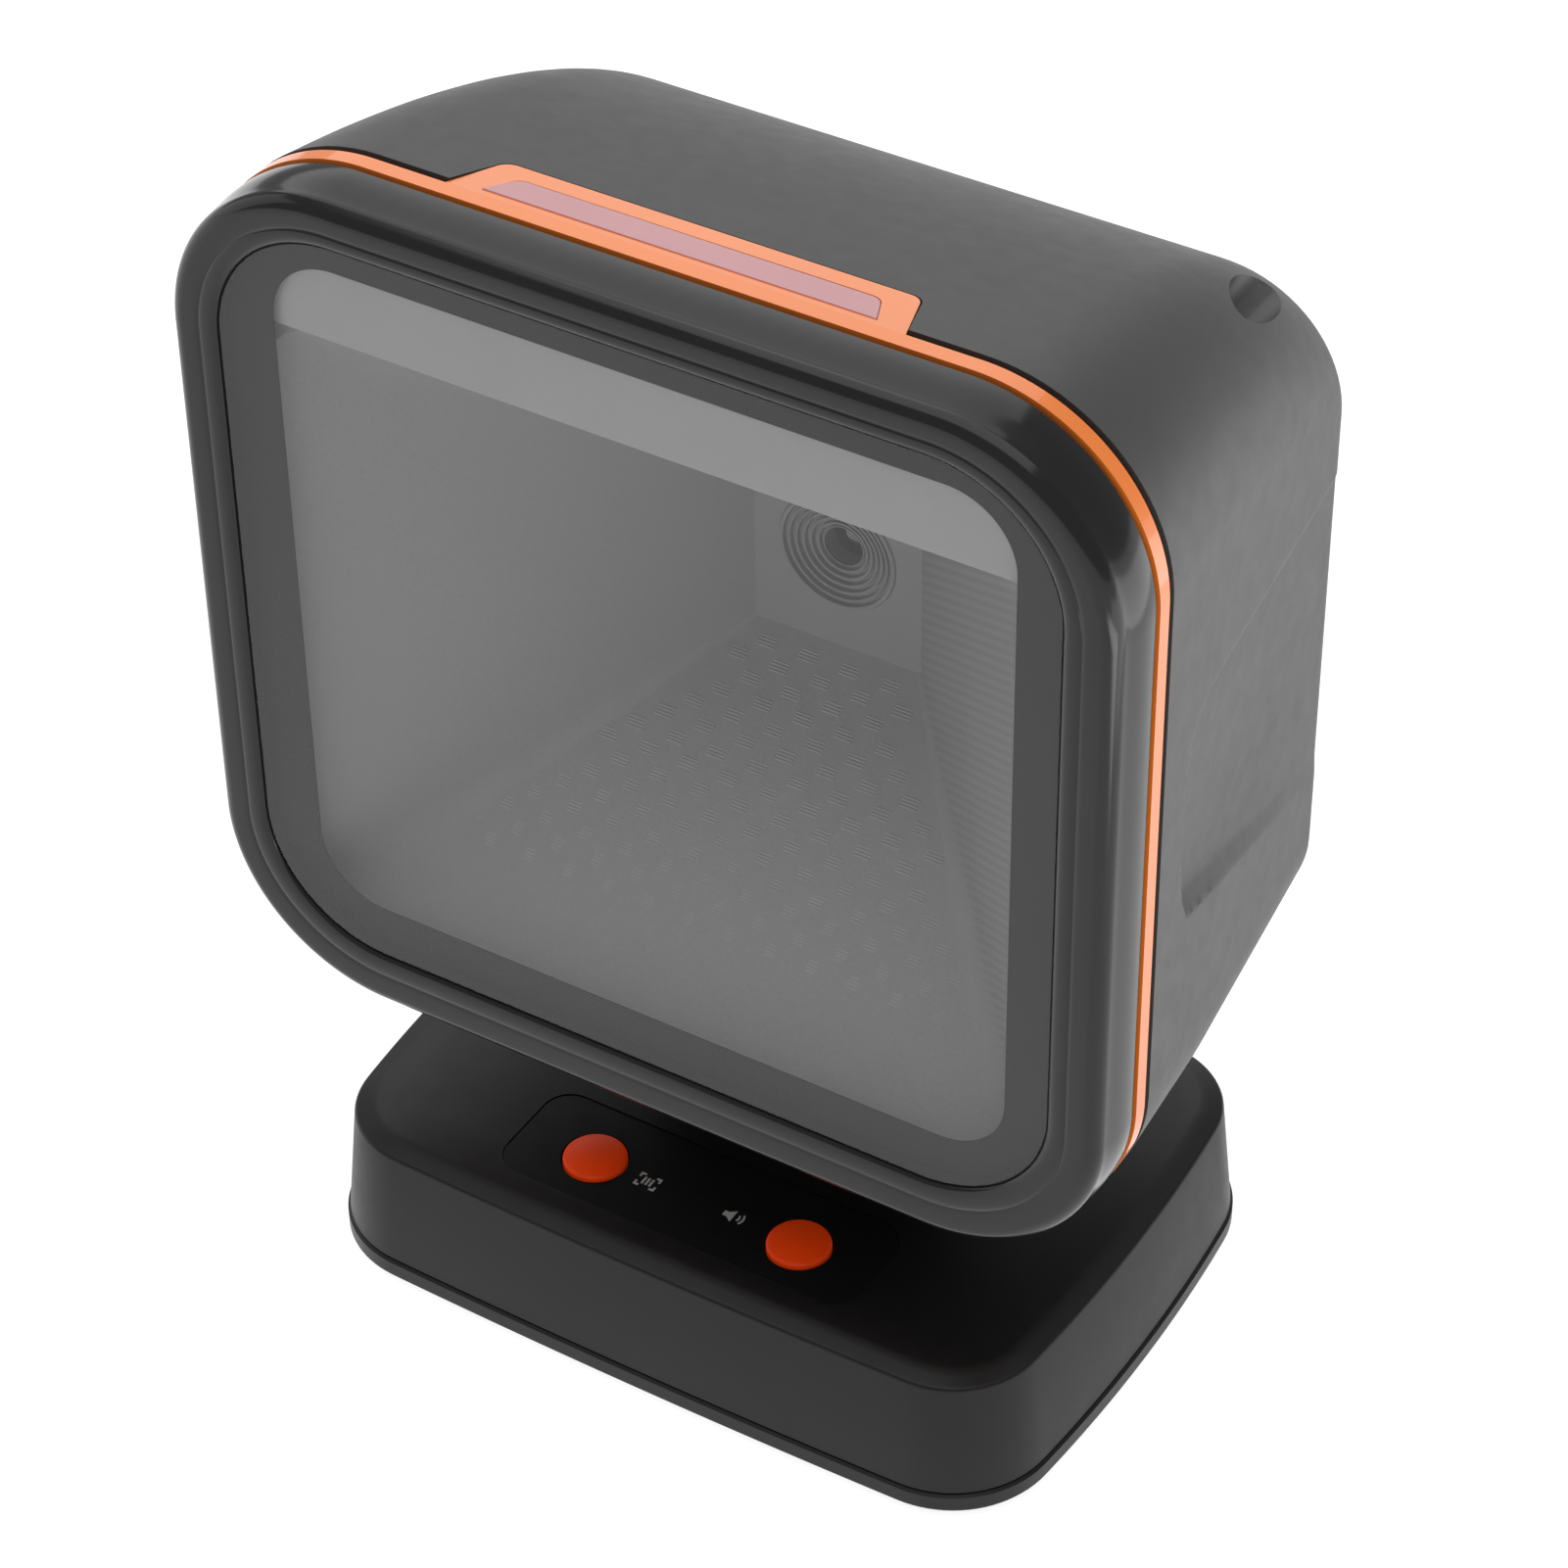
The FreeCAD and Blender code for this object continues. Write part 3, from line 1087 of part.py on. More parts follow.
def make_main_board():
    board = outline_plate(MAIN_BOARD, MAIN_BOARD_FRONT, MAIN_BOARD_REAR)
    for x, z in MAIN_SCREWS:
        board = board.cut(rod_y(MAIN_CLEARANCE, x, z, MAIN_BOARD_FRONT - BEYOND, MAIN_BOARD_REAR + BEYOND))
    nodes["main_circuit_board"] = board
    front = MAIN_BOARD_FRONT
    nodes["main_board_chips"] = group(
        block(x0, x1, front - height, front, z0, z1) for x0, x1, height, z0, z1 in CHIPS
    )
    head_radius, head_length = MAIN_SCREW_HEAD
    shank_radius, tip = MAIN_SCREW
    nodes["main_board_screws"] = group(
        union([
            rod_y(head_radius, x, z, front - head_length, front),
            rod_y(shank_radius, x, z, front - OVERLAP, tip),
        ])
        for x, z in MAIN_SCREWS
    )


# ---------------------------------------------------------------- build
make_bottom_plate()
make_base_shell()
make_feet_and_screws()
make_button_board()
make_button("scan_mode_button", "scan_switch_plunger", -1)
make_button("volume_button", "volume_switch_plunger", 1)
make_panel()
make_socket()
make_neck()
make_hinge_pin()
make_hinge_bracket()
housing_outside = housing_solid(0.0)
make_bezel()
make_window()
make_accent_ring(housing_outside)
make_housing(housing_outside)
make_tunnel()
make_camera()
make_illumination()
make_main_board()

os.makedirs("parts", exist_ok=True)
for name, shape in nodes.items():
    placed = shape.translated(Vector(0, FRAME_SHIFT_Y, 0))
    placed.exportStep(os.path.join("parts", name + ".step"))
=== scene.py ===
import json
import math
from collections import namedtuple

import bmesh
import bpy
from mathutils import Matrix, Vector

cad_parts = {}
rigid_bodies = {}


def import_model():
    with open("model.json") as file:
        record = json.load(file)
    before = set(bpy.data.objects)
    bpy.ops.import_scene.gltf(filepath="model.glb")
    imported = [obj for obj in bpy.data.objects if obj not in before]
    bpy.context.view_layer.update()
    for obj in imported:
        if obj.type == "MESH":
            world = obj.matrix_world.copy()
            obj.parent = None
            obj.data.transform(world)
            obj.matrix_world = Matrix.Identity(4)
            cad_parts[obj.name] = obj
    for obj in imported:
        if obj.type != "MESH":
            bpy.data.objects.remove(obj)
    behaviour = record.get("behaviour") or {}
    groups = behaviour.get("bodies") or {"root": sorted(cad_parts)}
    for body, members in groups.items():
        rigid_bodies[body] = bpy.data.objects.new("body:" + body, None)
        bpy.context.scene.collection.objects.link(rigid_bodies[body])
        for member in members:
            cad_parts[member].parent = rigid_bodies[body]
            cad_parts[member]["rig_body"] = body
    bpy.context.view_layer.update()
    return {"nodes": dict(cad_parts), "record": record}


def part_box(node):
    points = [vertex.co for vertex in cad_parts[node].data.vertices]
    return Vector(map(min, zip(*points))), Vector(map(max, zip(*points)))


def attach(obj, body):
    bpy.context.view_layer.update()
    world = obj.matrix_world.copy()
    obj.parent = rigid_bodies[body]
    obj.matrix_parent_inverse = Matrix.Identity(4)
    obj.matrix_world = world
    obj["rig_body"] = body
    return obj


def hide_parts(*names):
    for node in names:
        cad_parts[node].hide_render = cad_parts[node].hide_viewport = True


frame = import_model()

# Shapes are laid out in millimetres from the point on the table under the
# middle of the base, with the window facing -Y, and spot() puts them in the frame.
MM = 0.001

Box = namedtuple("Box", "x0 y0 z0 x1 y1 z1")
Outline = namedtuple("Outline", "half_width z_low z_high r_top r_low")

plate_low, plate_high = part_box("base_bottom_plate")
BASE_MIDDLE_Y = (plate_low.y + plate_high.y) / 2 / MM


def spot(x, y, z):
    return Vector((x, y + BASE_MIDDLE_Y, z)) * MM


def box_of(node):
    low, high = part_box(node)
    return Box(
        low.x / MM, low.y / MM - BASE_MIDDLE_Y, low.z / MM,
        high.x / MM, high.y / MM - BASE_MIDDLE_Y, high.z / MM,
    )


# ------------------------------ sizes
# boxes of the CAD nodes
bezel_box = box_of("front_bezel")
ring_box = box_of("accent_ring")
housing_box = box_of("rear_housing")
plate_box = box_of("base_bottom_plate")
shell_box = box_of("base_shell")
glass_box = box_of("window_glass")
border_box = box_of("window_border")
panel_box = box_of("button_panel")
bar_box = box_of("status_light_bar")
diffuser_box = box_of("illumination_diffuser")
barrel_box = box_of("lens_barrel")
faceplate_box = box_of("engine_faceplate")
socket_box = box_of("cable_socket")

# ---- head ----
RING = Outline(ring_box.x1, ring_box.z0, ring_box.z1, 18.3, 18.3)
PANE = Outline(glass_box.x1, glass_box.z0, glass_box.z1, 13.55, 13.55)
WINDOW = Outline(38.12, 46.4, 120.3, 7.06, 7.06)
LEDGE_OPENING = Outline(41.2, 43.8, 122.4, 10.6, 10.6)
RING_FRONT = -19.05
RING_REAR = -17.4
RING_DEPTH = 3.0
BEZEL_CREST = bezel_box.y0
BEZEL_CORNER = 1.6
BEZEL_REAR = -19.6
FACE_EDGE = 1.86  # inset from the ring at which the bezel's flat face starts
LEDGE_FRONT = -23.2
LEDGE_REAR = -22.5
LEDGE_SKIRT = 5.45  # inset from the ring of the wall behind the ledge

# the bezel's flank as (inset from the ring, y), from its rear to the rounded corner
BEZEL_FLANK = (
    (0.14, BEZEL_REAR), (0.06, -20.2), (0.02, -20.9), (0.02, -21.6),
    (0.06, -22.3), (0.13, -23.0), (0.2, -23.7), (0.26, -24.3),
)
# the bezel's face as (share of the way from its edge to the pane, depth below the crest)
BEZEL_FACE = (
    (0.16, 0.01), (0.3, 0.03), (0.41, 0.06), (0.445, 0.09), (0.465, 0.13), (0.48, 0.14), (0.495, 0.13),
    (0.515, 0.08), (0.55, 0.04), (0.62, 0.01), (0.7, 0.0), (0.78, 0.02), (0.86, 0.07), (0.93, 0.17),
    (0.98, 0.3), (1.0, 0.42),
)
PANE_GAP = 0.16  # inset of the pane from the bezel's lip
SEAL_INSETS = (0.02, 0.13)  # outside and inside of the thin seal round the pane
PRINT_GAP = 0.03  # distance from the pane's rear to the print behind it
RING_LAND_INSET = 0.95
STRIP_GAP = 0.15  # inset of the milky strip from the ledge's opening

HOUSING_FRONT = -16.65
HOUSING_REAR = housing_box.y1
HOUSING_WALL = 2.2
SIDE_TAPER = 6.65
TOP_TAPER = 8.4
CROWN_LENGTH = 46.9
CROWN_DROP = 16.3
SIDE_ROUND_LENGTH = 6.6
SIDE_ROUND_DROP = 14.5
UNDERSIDE_START = -0.8
UNDERSIDE_SLOPE = 0.13
UNDERSIDE_ROUND_LENGTH = 5.0
UNDERSIDE_ROUND_DROP = 3.5
REAR_TOP_CORNER = 11.85
REAR_LOW_CORNER = 9.3
HEAD_MIDDLE_Z = (RING.z_low + RING.z_high) / 2

WELL_X = 37.4
WELL_TOP_Z = 115.7
WELL_RADIUS = 2.6
WELL_FLOOR = 3.0
SLEEVE_WALL = 0.9
SLEEVE_FLOOR = 1.5
LUG_SLOT = Box(-7.5, -1.2, 30, 7.5, 11.2, 39.9)  # cut in the underside for the tilt lug
WELLS = [
    (side * WELL_X, z)
    for side in (-1, 1)
    for z in (WELL_TOP_Z, 2 * HEAD_MIDDLE_Z - WELL_TOP_Z)
]

# finger grip sunk into each side of the housing: its outline in (y, z), front to rear
GRIP_OUTLINE = (
    (-11.1, 83.5), (-10.2, 89.2), (-8.4, 91.6), (-5.2, 92.9), (2.0, 93.2), (60.0, 93.9),
    (60.0, 48.6), (-6.4, 67.9), (-8.6, 68.9), (-10.3, 72.5), (-10.9, 77.5),
)
LOWER_EDGE = 6  # index of the slanting lower edge in GRIP_OUTLINE
GRIP_STEP = 0.3
GRIP_DEPTH = 1.4
GRIP_TOP_Z = 93.2
GRIP_CREASE = 0.42
GRIP_RISE = 2.0  # height of the face that climbs back out above the lower edge
GRIP_FADE = (-9.0, 24.0)  # depths y between which the grip runs out
GRIP_STEP_LEFT = 0.4  # share of the step that is left at the rear

# ---- light bar ----
BAR_FRAME = ((23.6, -18.4), (21.05, -10.7))
BAR_LENS = ((20.0, -16.4), (18.4, -12.8))
BAR_CORNER = 1.5
BAR_LOW = 124.2
BAR_GAP = 0.14
BAR_LENS_GAP = 0.04
BAR_LENS_SUNK = 0.06

# ---- base ----
BASE_SIDE_RADIUS = 199.0
BASE_FRONT_RADIUS = 973.0
BASE_CORNER_RADIUS = 11.3
BASE_HALF_WIDTH = plate_box.x1
BASE_HALF_DEPTH = plate_box.y1
BASE_TOP = shell_box.z1
SEAM_Z = shell_box.z0
FOOT_X = 31.5
FOOT_Y = 19.5
FEET = [(sx * FOOT_X, sy * FOOT_Y, 0) for sx in (-1, 1) for sy in (-1, 1)]
PANEL_CORNER = 3.0
PANEL_GAP = 0.05
SOCKET_GAP = 0.1
FOOT_RECESS = (4.75, 1.6)  # radius and height
BUTTON_RADIUS = 3.3
BUTTON_HOLE_GAP = 0.22
BUTTON_FLANGE = (4.1, 0.8)  # radius and thickness
BUTTON_EDGE = 0.2  # width of the rounded edge round the dome
BUTTON_DOME = 0.4
DOME_STEPS = 13
LENS_Z = (barrel_box.z0 + barrel_box.z1) / 2


# ------------------------------ shape building
class Shape:
    """Points in millimetres and faces of one piece, gathered before it is made."""

    def __init__(self):
        self.points = []
        self.faces = []

    def ring(self, points):
        start = len(self.points)
        self.points.extend(points)
        return list(range(start, len(self.points)))

    def bridge(self, a, b):
        """Quads between two closed rings of equal length."""
        count = len(a)
        for k in range(count):
            following = (k + 1) % count
            self.faces.append((a[k], a[following], b[following], b[k]))

    def loft(self, rings, closed=False):
        """Skins a list of rings and returns their indices."""
        placed = [self.ring(points) for points in rings]
        for a, b in zip(placed, placed[1:]):
            self.bridge(a, b)
        if closed:
            self.bridge(placed[-1], placed[0])
        return placed

    def cap(self, ring):
        self.faces.append(tuple(ring))

    def solid(self, rings):
        """Skins a list of rings and closes both ends."""
        placed = self.loft(rings)
        self.cap(placed[0])
        self.cap(placed[-1])

    def piece(self, name):
        data = bpy.data.meshes.new(name)
        data.from_pydata([spot(*p) for p in self.points], [], self.faces)
        work = bmesh.new()
        work.from_mesh(data)
        bmesh.ops.remove_doubles(work, verts=work.verts, dist=1e-7)
        bmesh.ops.recalc_face_normals(work, faces=work.faces)
        work.to_mesh(data)
        work.free()
        return add_object(name, data)


def solid_piece(name, rings):
    shape = Shape()
    shape.solid(rings)
    return shape.piece(name)


def hollow_piece(name, rings):
    """A piece with a hole through it: its last ring joins its first."""
    shape = Shape()
    shape.loft(rings, closed=True)
    return shape.piece(name)


def add_object(name, data):
    piece = bpy.data.objects.new(name, data)
    bpy.context.scene.collection.objects.link(piece)
    return piece


def smooth(piece, angle=35.0):
    for face in piece.data.polygons:
        face.use_smooth = True
    piece.data.set_sharp_from_angle(angle=math.radians(angle))


def soften(piece, width, angle=35.0):
    """Rounds the sharp edges of a piece by a small bevel, width in millimetres."""
    for face in piece.data.polygons:
        face.use_smooth = True
    bevel = piece.modifiers.new("soft_edges", "BEVEL")
    bevel.width = width * MM
    bevel.segments = 2
    bevel.limit_method = "ANGLE"
    bevel.angle_limit = math.radians(angle)
    bevel.miter_outer = "MITER_ARC"
    bevel.harden_normals = True


def carve(piece, cutter, operation="DIFFERENCE"):
    """Applies an exact boolean between two pieces and removes the second."""
    boolean = piece.modifiers.new("carve", "BOOLEAN")
    boolean.operation = operation
    boolean.solver = "EXACT"
    boolean.object = cutter
    graph = bpy.context.evaluated_depsgraph_get()
    result = bpy.data.meshes.new_from_object(piece.evaluated_get(graph))
    piece.modifiers.remove(boolean)
    piece.data = result
    bpy.data.objects.remove(cutter)


def finish_piece(piece, body, material, replaced=()):
    piece.data.materials.clear()
    piece.data.materials.append(material)
    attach(piece, body)
    if replaced:
        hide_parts(*replaced)


def arc_points(centre, radius, start, end, steps):
    """Points on an arc, from start to end in degrees, both included."""
    points = []
    for k in range(steps + 1):
        angle = math.radians(start + (end - start) * k / steps)
        points.append((centre[0] + radius * math.cos(angle), centre[1] + radius * math.sin(angle)))
    return points


def arc_through(a, b, c, steps):
    """Points on the arc from a to c that passes b, both ends included."""
    ax, ay = a
    bx, by = b
    cx, cy = c
    d = 2 * (ax * (by - cy) + bx * (cy - ay) + cx * (ay - by))
    ux = ((ax**2 + ay**2) * (by - cy) + (bx**2 + by**2) * (cy - ay) + (cx**2 + cy**2) * (ay - by)) / d
    uy = ((ax**2 + ay**2) * (cx - bx) + (bx**2 + by**2) * (ax - cx) + (cx**2 + cy**2) * (bx - ax)) / d
    start = math.degrees(math.atan2(ay - uy, ax - ux))
    middle = math.degrees(math.atan2(by - uy, bx - ux))
    end = math.degrees(math.atan2(cy - uy, cx - ux))
    while middle - start > 180:
        middle -= 360
    while middle - start < -180:
        middle += 360
    while end - middle > 180:
        end -= 360
    while end - middle < -180:
        end += 360
    return arc_points((ux, uy), math.hypot(ax - ux, ay - uy), start, end, steps)


# ------------------------------ outlines of the head
def shrunk(outline, inset):
    return Outline(
        outline.half_width - inset, outline.z_low + inset, outline.z_high - inset,
        outline.r_top - inset, outline.r_low - inset,
    )


def between(outer, inner, share):
    """The outline at a share of the way from one outline to another."""
    return Outline(*[a + (b - a) * share for a, b in zip(outer, inner)])


def outline_ring(outline, y, side_steps=20, end_steps=20, corner_steps=24):
    """Points round an upright rounded rectangle in the plane y."""
    wide, low, high, r_top, r_low = outline
    corners = (
        (wide - r_top, high - r_top, r_top, 0, end_steps),
        (r_top - wide, high - r_top, r_top, 90, side_steps),
        (r_low - wide, low + r_low, r_low, 180, end_steps),
        (wide - r_low, low + r_low, r_low, 270, side_steps),
    )
    arcs = [arc_points((x, z), radius, turn, turn + 90, corner_steps) for x, z, radius, turn, _ in corners]
    points = []
    for index, arc in enumerate(arcs):
        steps = corners[index][4]
        following = arcs[(index + 1) % 4][0]
        points.extend(arc)
        last = arc[-1]
        for k in range(1, steps):
            share = k / steps
            points.append(tuple(a + (b - a) * share for a, b in zip(last, following)))
    return [(x, y, z) for x, z in points]


def plate(name, outline, y0, y1, **steps):
    return solid_piece(name, [outline_ring(outline, y, **steps) for y in (y0, y1)])


def holed_plate(name, outer, inner, y0, y1):
    corners = ((outer, y0), (outer, y1), (inner, y1), (inner, y0))
    return hollow_piece(name, [outline_ring(outline, y) for outline, y in corners])


def rounding(y, start, length):
    """0 before start, rising along a quarter ellipse to 1 at start + length."""
    if y <= start:
        return 0.0
    part = min((y - start) / length, 1.0)
    return 1.0 - math.sqrt(1.0 - part * part)


def housing_outline(y):
    along = (y - HOUSING_FRONT) / (HOUSING_REAR - HOUSING_FRONT)
    half_width = RING.half_width - SIDE_TAPER * along
    half_width -= SIDE_ROUND_DROP * rounding(y, HOUSING_REAR - SIDE_ROUND_LENGTH, SIDE_ROUND_LENGTH)
    z_high = RING.z_high - TOP_TAPER * along
    z_high -= CROWN_DROP * rounding(y, HOUSING_REAR - CROWN_LENGTH, CROWN_LENGTH)
    z_low = RING.z_low + UNDERSIDE_SLOPE * max(0.0, y - UNDERSIDE_START)
    z_low += UNDERSIDE_ROUND_DROP * rounding(
        y, HOUSING_REAR - UNDERSIDE_ROUND_LENGTH, UNDERSIDE_ROUND_LENGTH
    )
    r_top = RING.r_top + (REAR_TOP_CORNER - RING.r_top) * along
    r_low = RING.r_low + (REAR_LOW_CORNER - RING.r_low) * along
    return Outline(half_width, z_low, z_high, r_top, r_low)


def roof_z(y):
    """Height of the head's top surface along its middle, at depth y."""
    return RING.z_high if y < HOUSING_FRONT else housing_outline(y).z_high


# ------------------------------ materials
NOISE_SPAN = (0.3, 0.7)  # where nearly all values of a noise texture lie
WHITE = (1.0, 1.0, 1.0, 1.0)


def blank_material(name):
    material = bpy.data.materials.new(name)
    material.use_nodes = True
    tree = material.node_tree
    tree.nodes.clear()
    return material, tree, tree.nodes.new("ShaderNodeOutputMaterial")


def new_material(name):
    material, tree, output = blank_material(name)
    shader = tree.nodes.new("ShaderNodeBsdfPrincipled")
    tree.links.new(shader.outputs["BSDF"], output.inputs["Surface"])
    return material, tree, shader


def set_inputs(node, values):
    for socket, value in values.items():
        node.inputs[socket].default_value = value


def noise(tree, scale, detail=2.0, roughness=0.5):
    """Noise in the frame's own metres: scale is in cycles per millimetre."""
    coordinates = tree.nodes.new("ShaderNodeTexCoord")
    texture = tree.nodes.new("ShaderNodeTexNoise")
    set_inputs(texture, {"Scale": scale / MM, "Detail": detail, "Roughness": roughness})
    tree.links.new(coordinates.outputs["Object"], texture.inputs["Vector"])
    return texture.outputs["Fac"]


def ramp(tree, value, low, high, stops=NOISE_SPAN):
    """Maps a noise value onto two colours."""
    node = tree.nodes.new("ShaderNodeValToRGB")
    for element, position, colour in zip(node.color_ramp.elements, stops, (low, high)):
        element.position = position
        element.color = (*colour, 1.0)
    tree.links.new(value, node.inputs["Fac"])
    return node.outputs["Color"]


def map_range(tree, value, span, low, high):
    """Maps a span of values onto low..high and holds it at both ends."""
    node = tree.nodes.new("ShaderNodeMapRange")
    set_inputs(node, {"From Min": span[0], "From Max": span[1], "To Min": low, "To Max": high})
    tree.links.new(value, node.inputs["Value"])
    return node.outputs["Result"]


def bump(tree, shader, height, depth):
    """Gives a shader relief of the given depth in millimetres."""
    node = tree.nodes.new("ShaderNodeBump")
    set_inputs(node, {"Strength": 1.0, "Distance": depth * MM})
    tree.links.new(height, node.inputs["Height"])
    tree.links.new(node.outputs["Normal"], shader.inputs["Normal"])


def clouded(tree, shader, cloud, colour, low, high=1.0):
    """Lets the base colour vary between two factors with a noise value."""
    darker, lighter = (tuple(channel * factor for channel in colour) for factor in (low, high))
    tree.links.new(ramp(tree, cloud, darker, lighter), shader.inputs["Base Color"])


def moulded(name, colour, rough, grain=3.0, grain_depth=0.006, mottle=0.12, specular=0.5, coat=0.0):
    """Moulded plastic: a fine spark-eroded grain, faint clouding of the colour
    and uneven polish."""
    material, tree, shader = new_material(name)
    clouded(tree, shader, noise(tree, 0.05, detail=3.0), colour, 1 - mottle, 1 + mottle)
    polish = map_range(tree, noise(tree, 0.4, detail=3.0), NOISE_SPAN, rough * 0.94, rough * 1.06)
    tree.links.new(polish, shader.inputs["Roughness"])
    shader.inputs["Specular IOR Level"].default_value = specular
    if coat:
        set_inputs(shader, {"Coat Weight": coat, "Coat Roughness": 0.04})
    if grain_depth:
        bump(tree, shader, noise(tree, grain, detail=2.0, roughness=0.6), grain_depth)
    return material


def metal(name, colour, rough):
    material, tree, shader = new_material(name)
    cloud = noise(tree, 0.6, detail=3.0)
    clouded(tree, shader, cloud, colour, 0.85)
    polish = map_range(tree, cloud, NOISE_SPAN, rough * 0.8, rough * 1.3)
    tree.links.new(polish, shader.inputs["Roughness"])
    shader.inputs["Metallic"].default_value = 1.0
    return material


def glass_material():
    """Tinted pane: slightly grey to look through. Only faces that are seen from
    outside the glass reflect."""
    material, tree, output = blank_material("tinted_pane")
    mix = tree.nodes.new("ShaderNodeMixShader")
    clear = tree.nodes.new("ShaderNodeBsdfTransparent")
    tint = 0.93
    clear.inputs["Color"].default_value = (tint, tint, tint, 1.0)
    gloss = tree.nodes.new("ShaderNodeBsdfGlossy")
    set_inputs(gloss, {"Color": WHITE, "Roughness": 0.02})
    fresnel = tree.nodes.new("ShaderNodeFresnel")
    fresnel.inputs["IOR"].default_value = 1.5
    geometry = tree.nodes.new("ShaderNodeNewGeometry")
    facing = tree.nodes.new("ShaderNodeMath")  # 1 from outside, 0 from within the glass
    facing.operation = "SUBTRACT"
    facing.inputs[0].default_value = 1.0
    only_front = tree.nodes.new("ShaderNodeMath")
    only_front.operation = "MULTIPLY"
    tree.links.new(geometry.outputs["Backfacing"], facing.inputs[1])
    tree.links.new(fresnel.outputs["Fac"], only_front.inputs[0])
    tree.links.new(facing.outputs["Value"], only_front.inputs[1])
    tree.links.new(only_front.outputs["Value"], mix.inputs["Fac"])
    tree.links.new(clear.outputs["BSDF"], mix.inputs[1])
    tree.links.new(gloss.outputs["BSDF"], mix.inputs[2])
    tree.links.new(mix.outputs["Shader"], output.inputs["Surface"])
    return material


MARK_SLANT = math.radians(-49)
MARKS_PER_MM = 0.37
FACING_LEFT = (-0.65, -0.45)  # X of the normal over which the tool marks give way to grain
FACING_UP = (0.3, 0.7)  # Z of the normal over which the moulding is painted lighter, as painted light from above
# how much lighter the faces that look up are painted: painted light from above
UPWARD_PAINTED_LIGHT = 1.28


def tunnel_material():
    """Grey moulding inside the head. Slanting tool marks show on the wall that
    faces -X. The others have a fine grain, and faces that look up, the floor most, are painted lighter:
    painted light from above."""
    material, tree, shader = new_material("tunnel_grey_moulding")
    coordinates = tree.nodes.new("ShaderNodeTexCoord")
    slant = tree.nodes.new("ShaderNodeMapping")
    slant.inputs["Rotation"].default_value = (MARK_SLANT, 0.0, 0.0)
    wave = tree.nodes.new("ShaderNodeTexWave")
    wave.wave_type = "BANDS"
    wave.bands_direction = "Y"
    set_inputs(wave, {"Scale": MARKS_PER_MM / MM, "Distortion": 0.3})
    tree.links.new(coordinates.outputs["Object"], slant.inputs["Vector"])
    tree.links.new(slant.outputs["Vector"], wave.inputs["Vector"])
    side = tree.nodes.new("ShaderNodeSeparateXYZ")
    tree.links.new(coordinates.outputs["Normal"], side.inputs["Vector"])
    marked = map_range(tree, side.outputs["X"], FACING_LEFT, 1.0, 0.0)
    grain = noise(tree, 3.0, detail=4.0)
    blend = tree.nodes.new("ShaderNodeMix")
    blend.data_type = "FLOAT"
    tree.links.new(marked, blend.inputs["Factor"])
    tree.links.new(grain, blend.inputs["A"])
    tree.links.new(wave.outputs["Fac"], blend.inputs["B"])
    # painted light: faces that look up get a lighter colour
    painted_light_from_above = map_range(tree, side.outputs["Z"], FACING_UP, 1.0, UPWARD_PAINTED_LIGHT)
    lighter = tree.nodes.new("ShaderNodeVectorMath")
    lighter.operation = "SCALE"
    tree.links.new(
        ramp(tree, blend.outputs["Result"], (0.234, 0.234, 0.235), (0.276, 0.276, 0.276), (0.2, 0.8)),
        lighter.inputs["Vector"],
    )
    tree.links.new(painted_light_from_above, lighter.inputs["Scale"])
    tree.links.new(lighter.outputs["Vector"], shader.inputs["Base Color"])
    shader.inputs["Roughness"].default_value = 0.6
    bump(tree, shader, blend.outputs["Result"], 0.006)
    return material


def diffusing(name, colour):
    """Milky plastic over lamps that are off: light goes a little way into it."""
    material, tree, shader = new_material(name)
    clouded(tree, shader, noise(tree, 0.08), colour, 0.96)
    set_inputs(shader, {
        "Roughness": 0.38, "Subsurface Weight": 0.25,
        "Subsurface Radius": (2 * MM, 2 * MM, 2 * MM), "Subsurface Scale": 0.5,
    })
    bump(tree, shader, noise(tree, 4.0), 0.003)
    return material


def key_rubber(name, colour, painted_glow):
    """Silicone rubber of the keys. The faint emission is painted light: a glow
    that makes the keys brighter than the lamps alone would."""
    material, tree, shader = new_material(name)
    clouded(tree, shader, noise(tree, 0.3), colour, 0.96)
    set_inputs(shader, {
        "Roughness": 0.42, "Specular IOR Level": 0.25,
        "Emission Color": (*colour, 1.0), "Emission Strength": painted_glow,
    })
    bump(tree, shader, noise(tree, 4.0), 0.002)
    return material


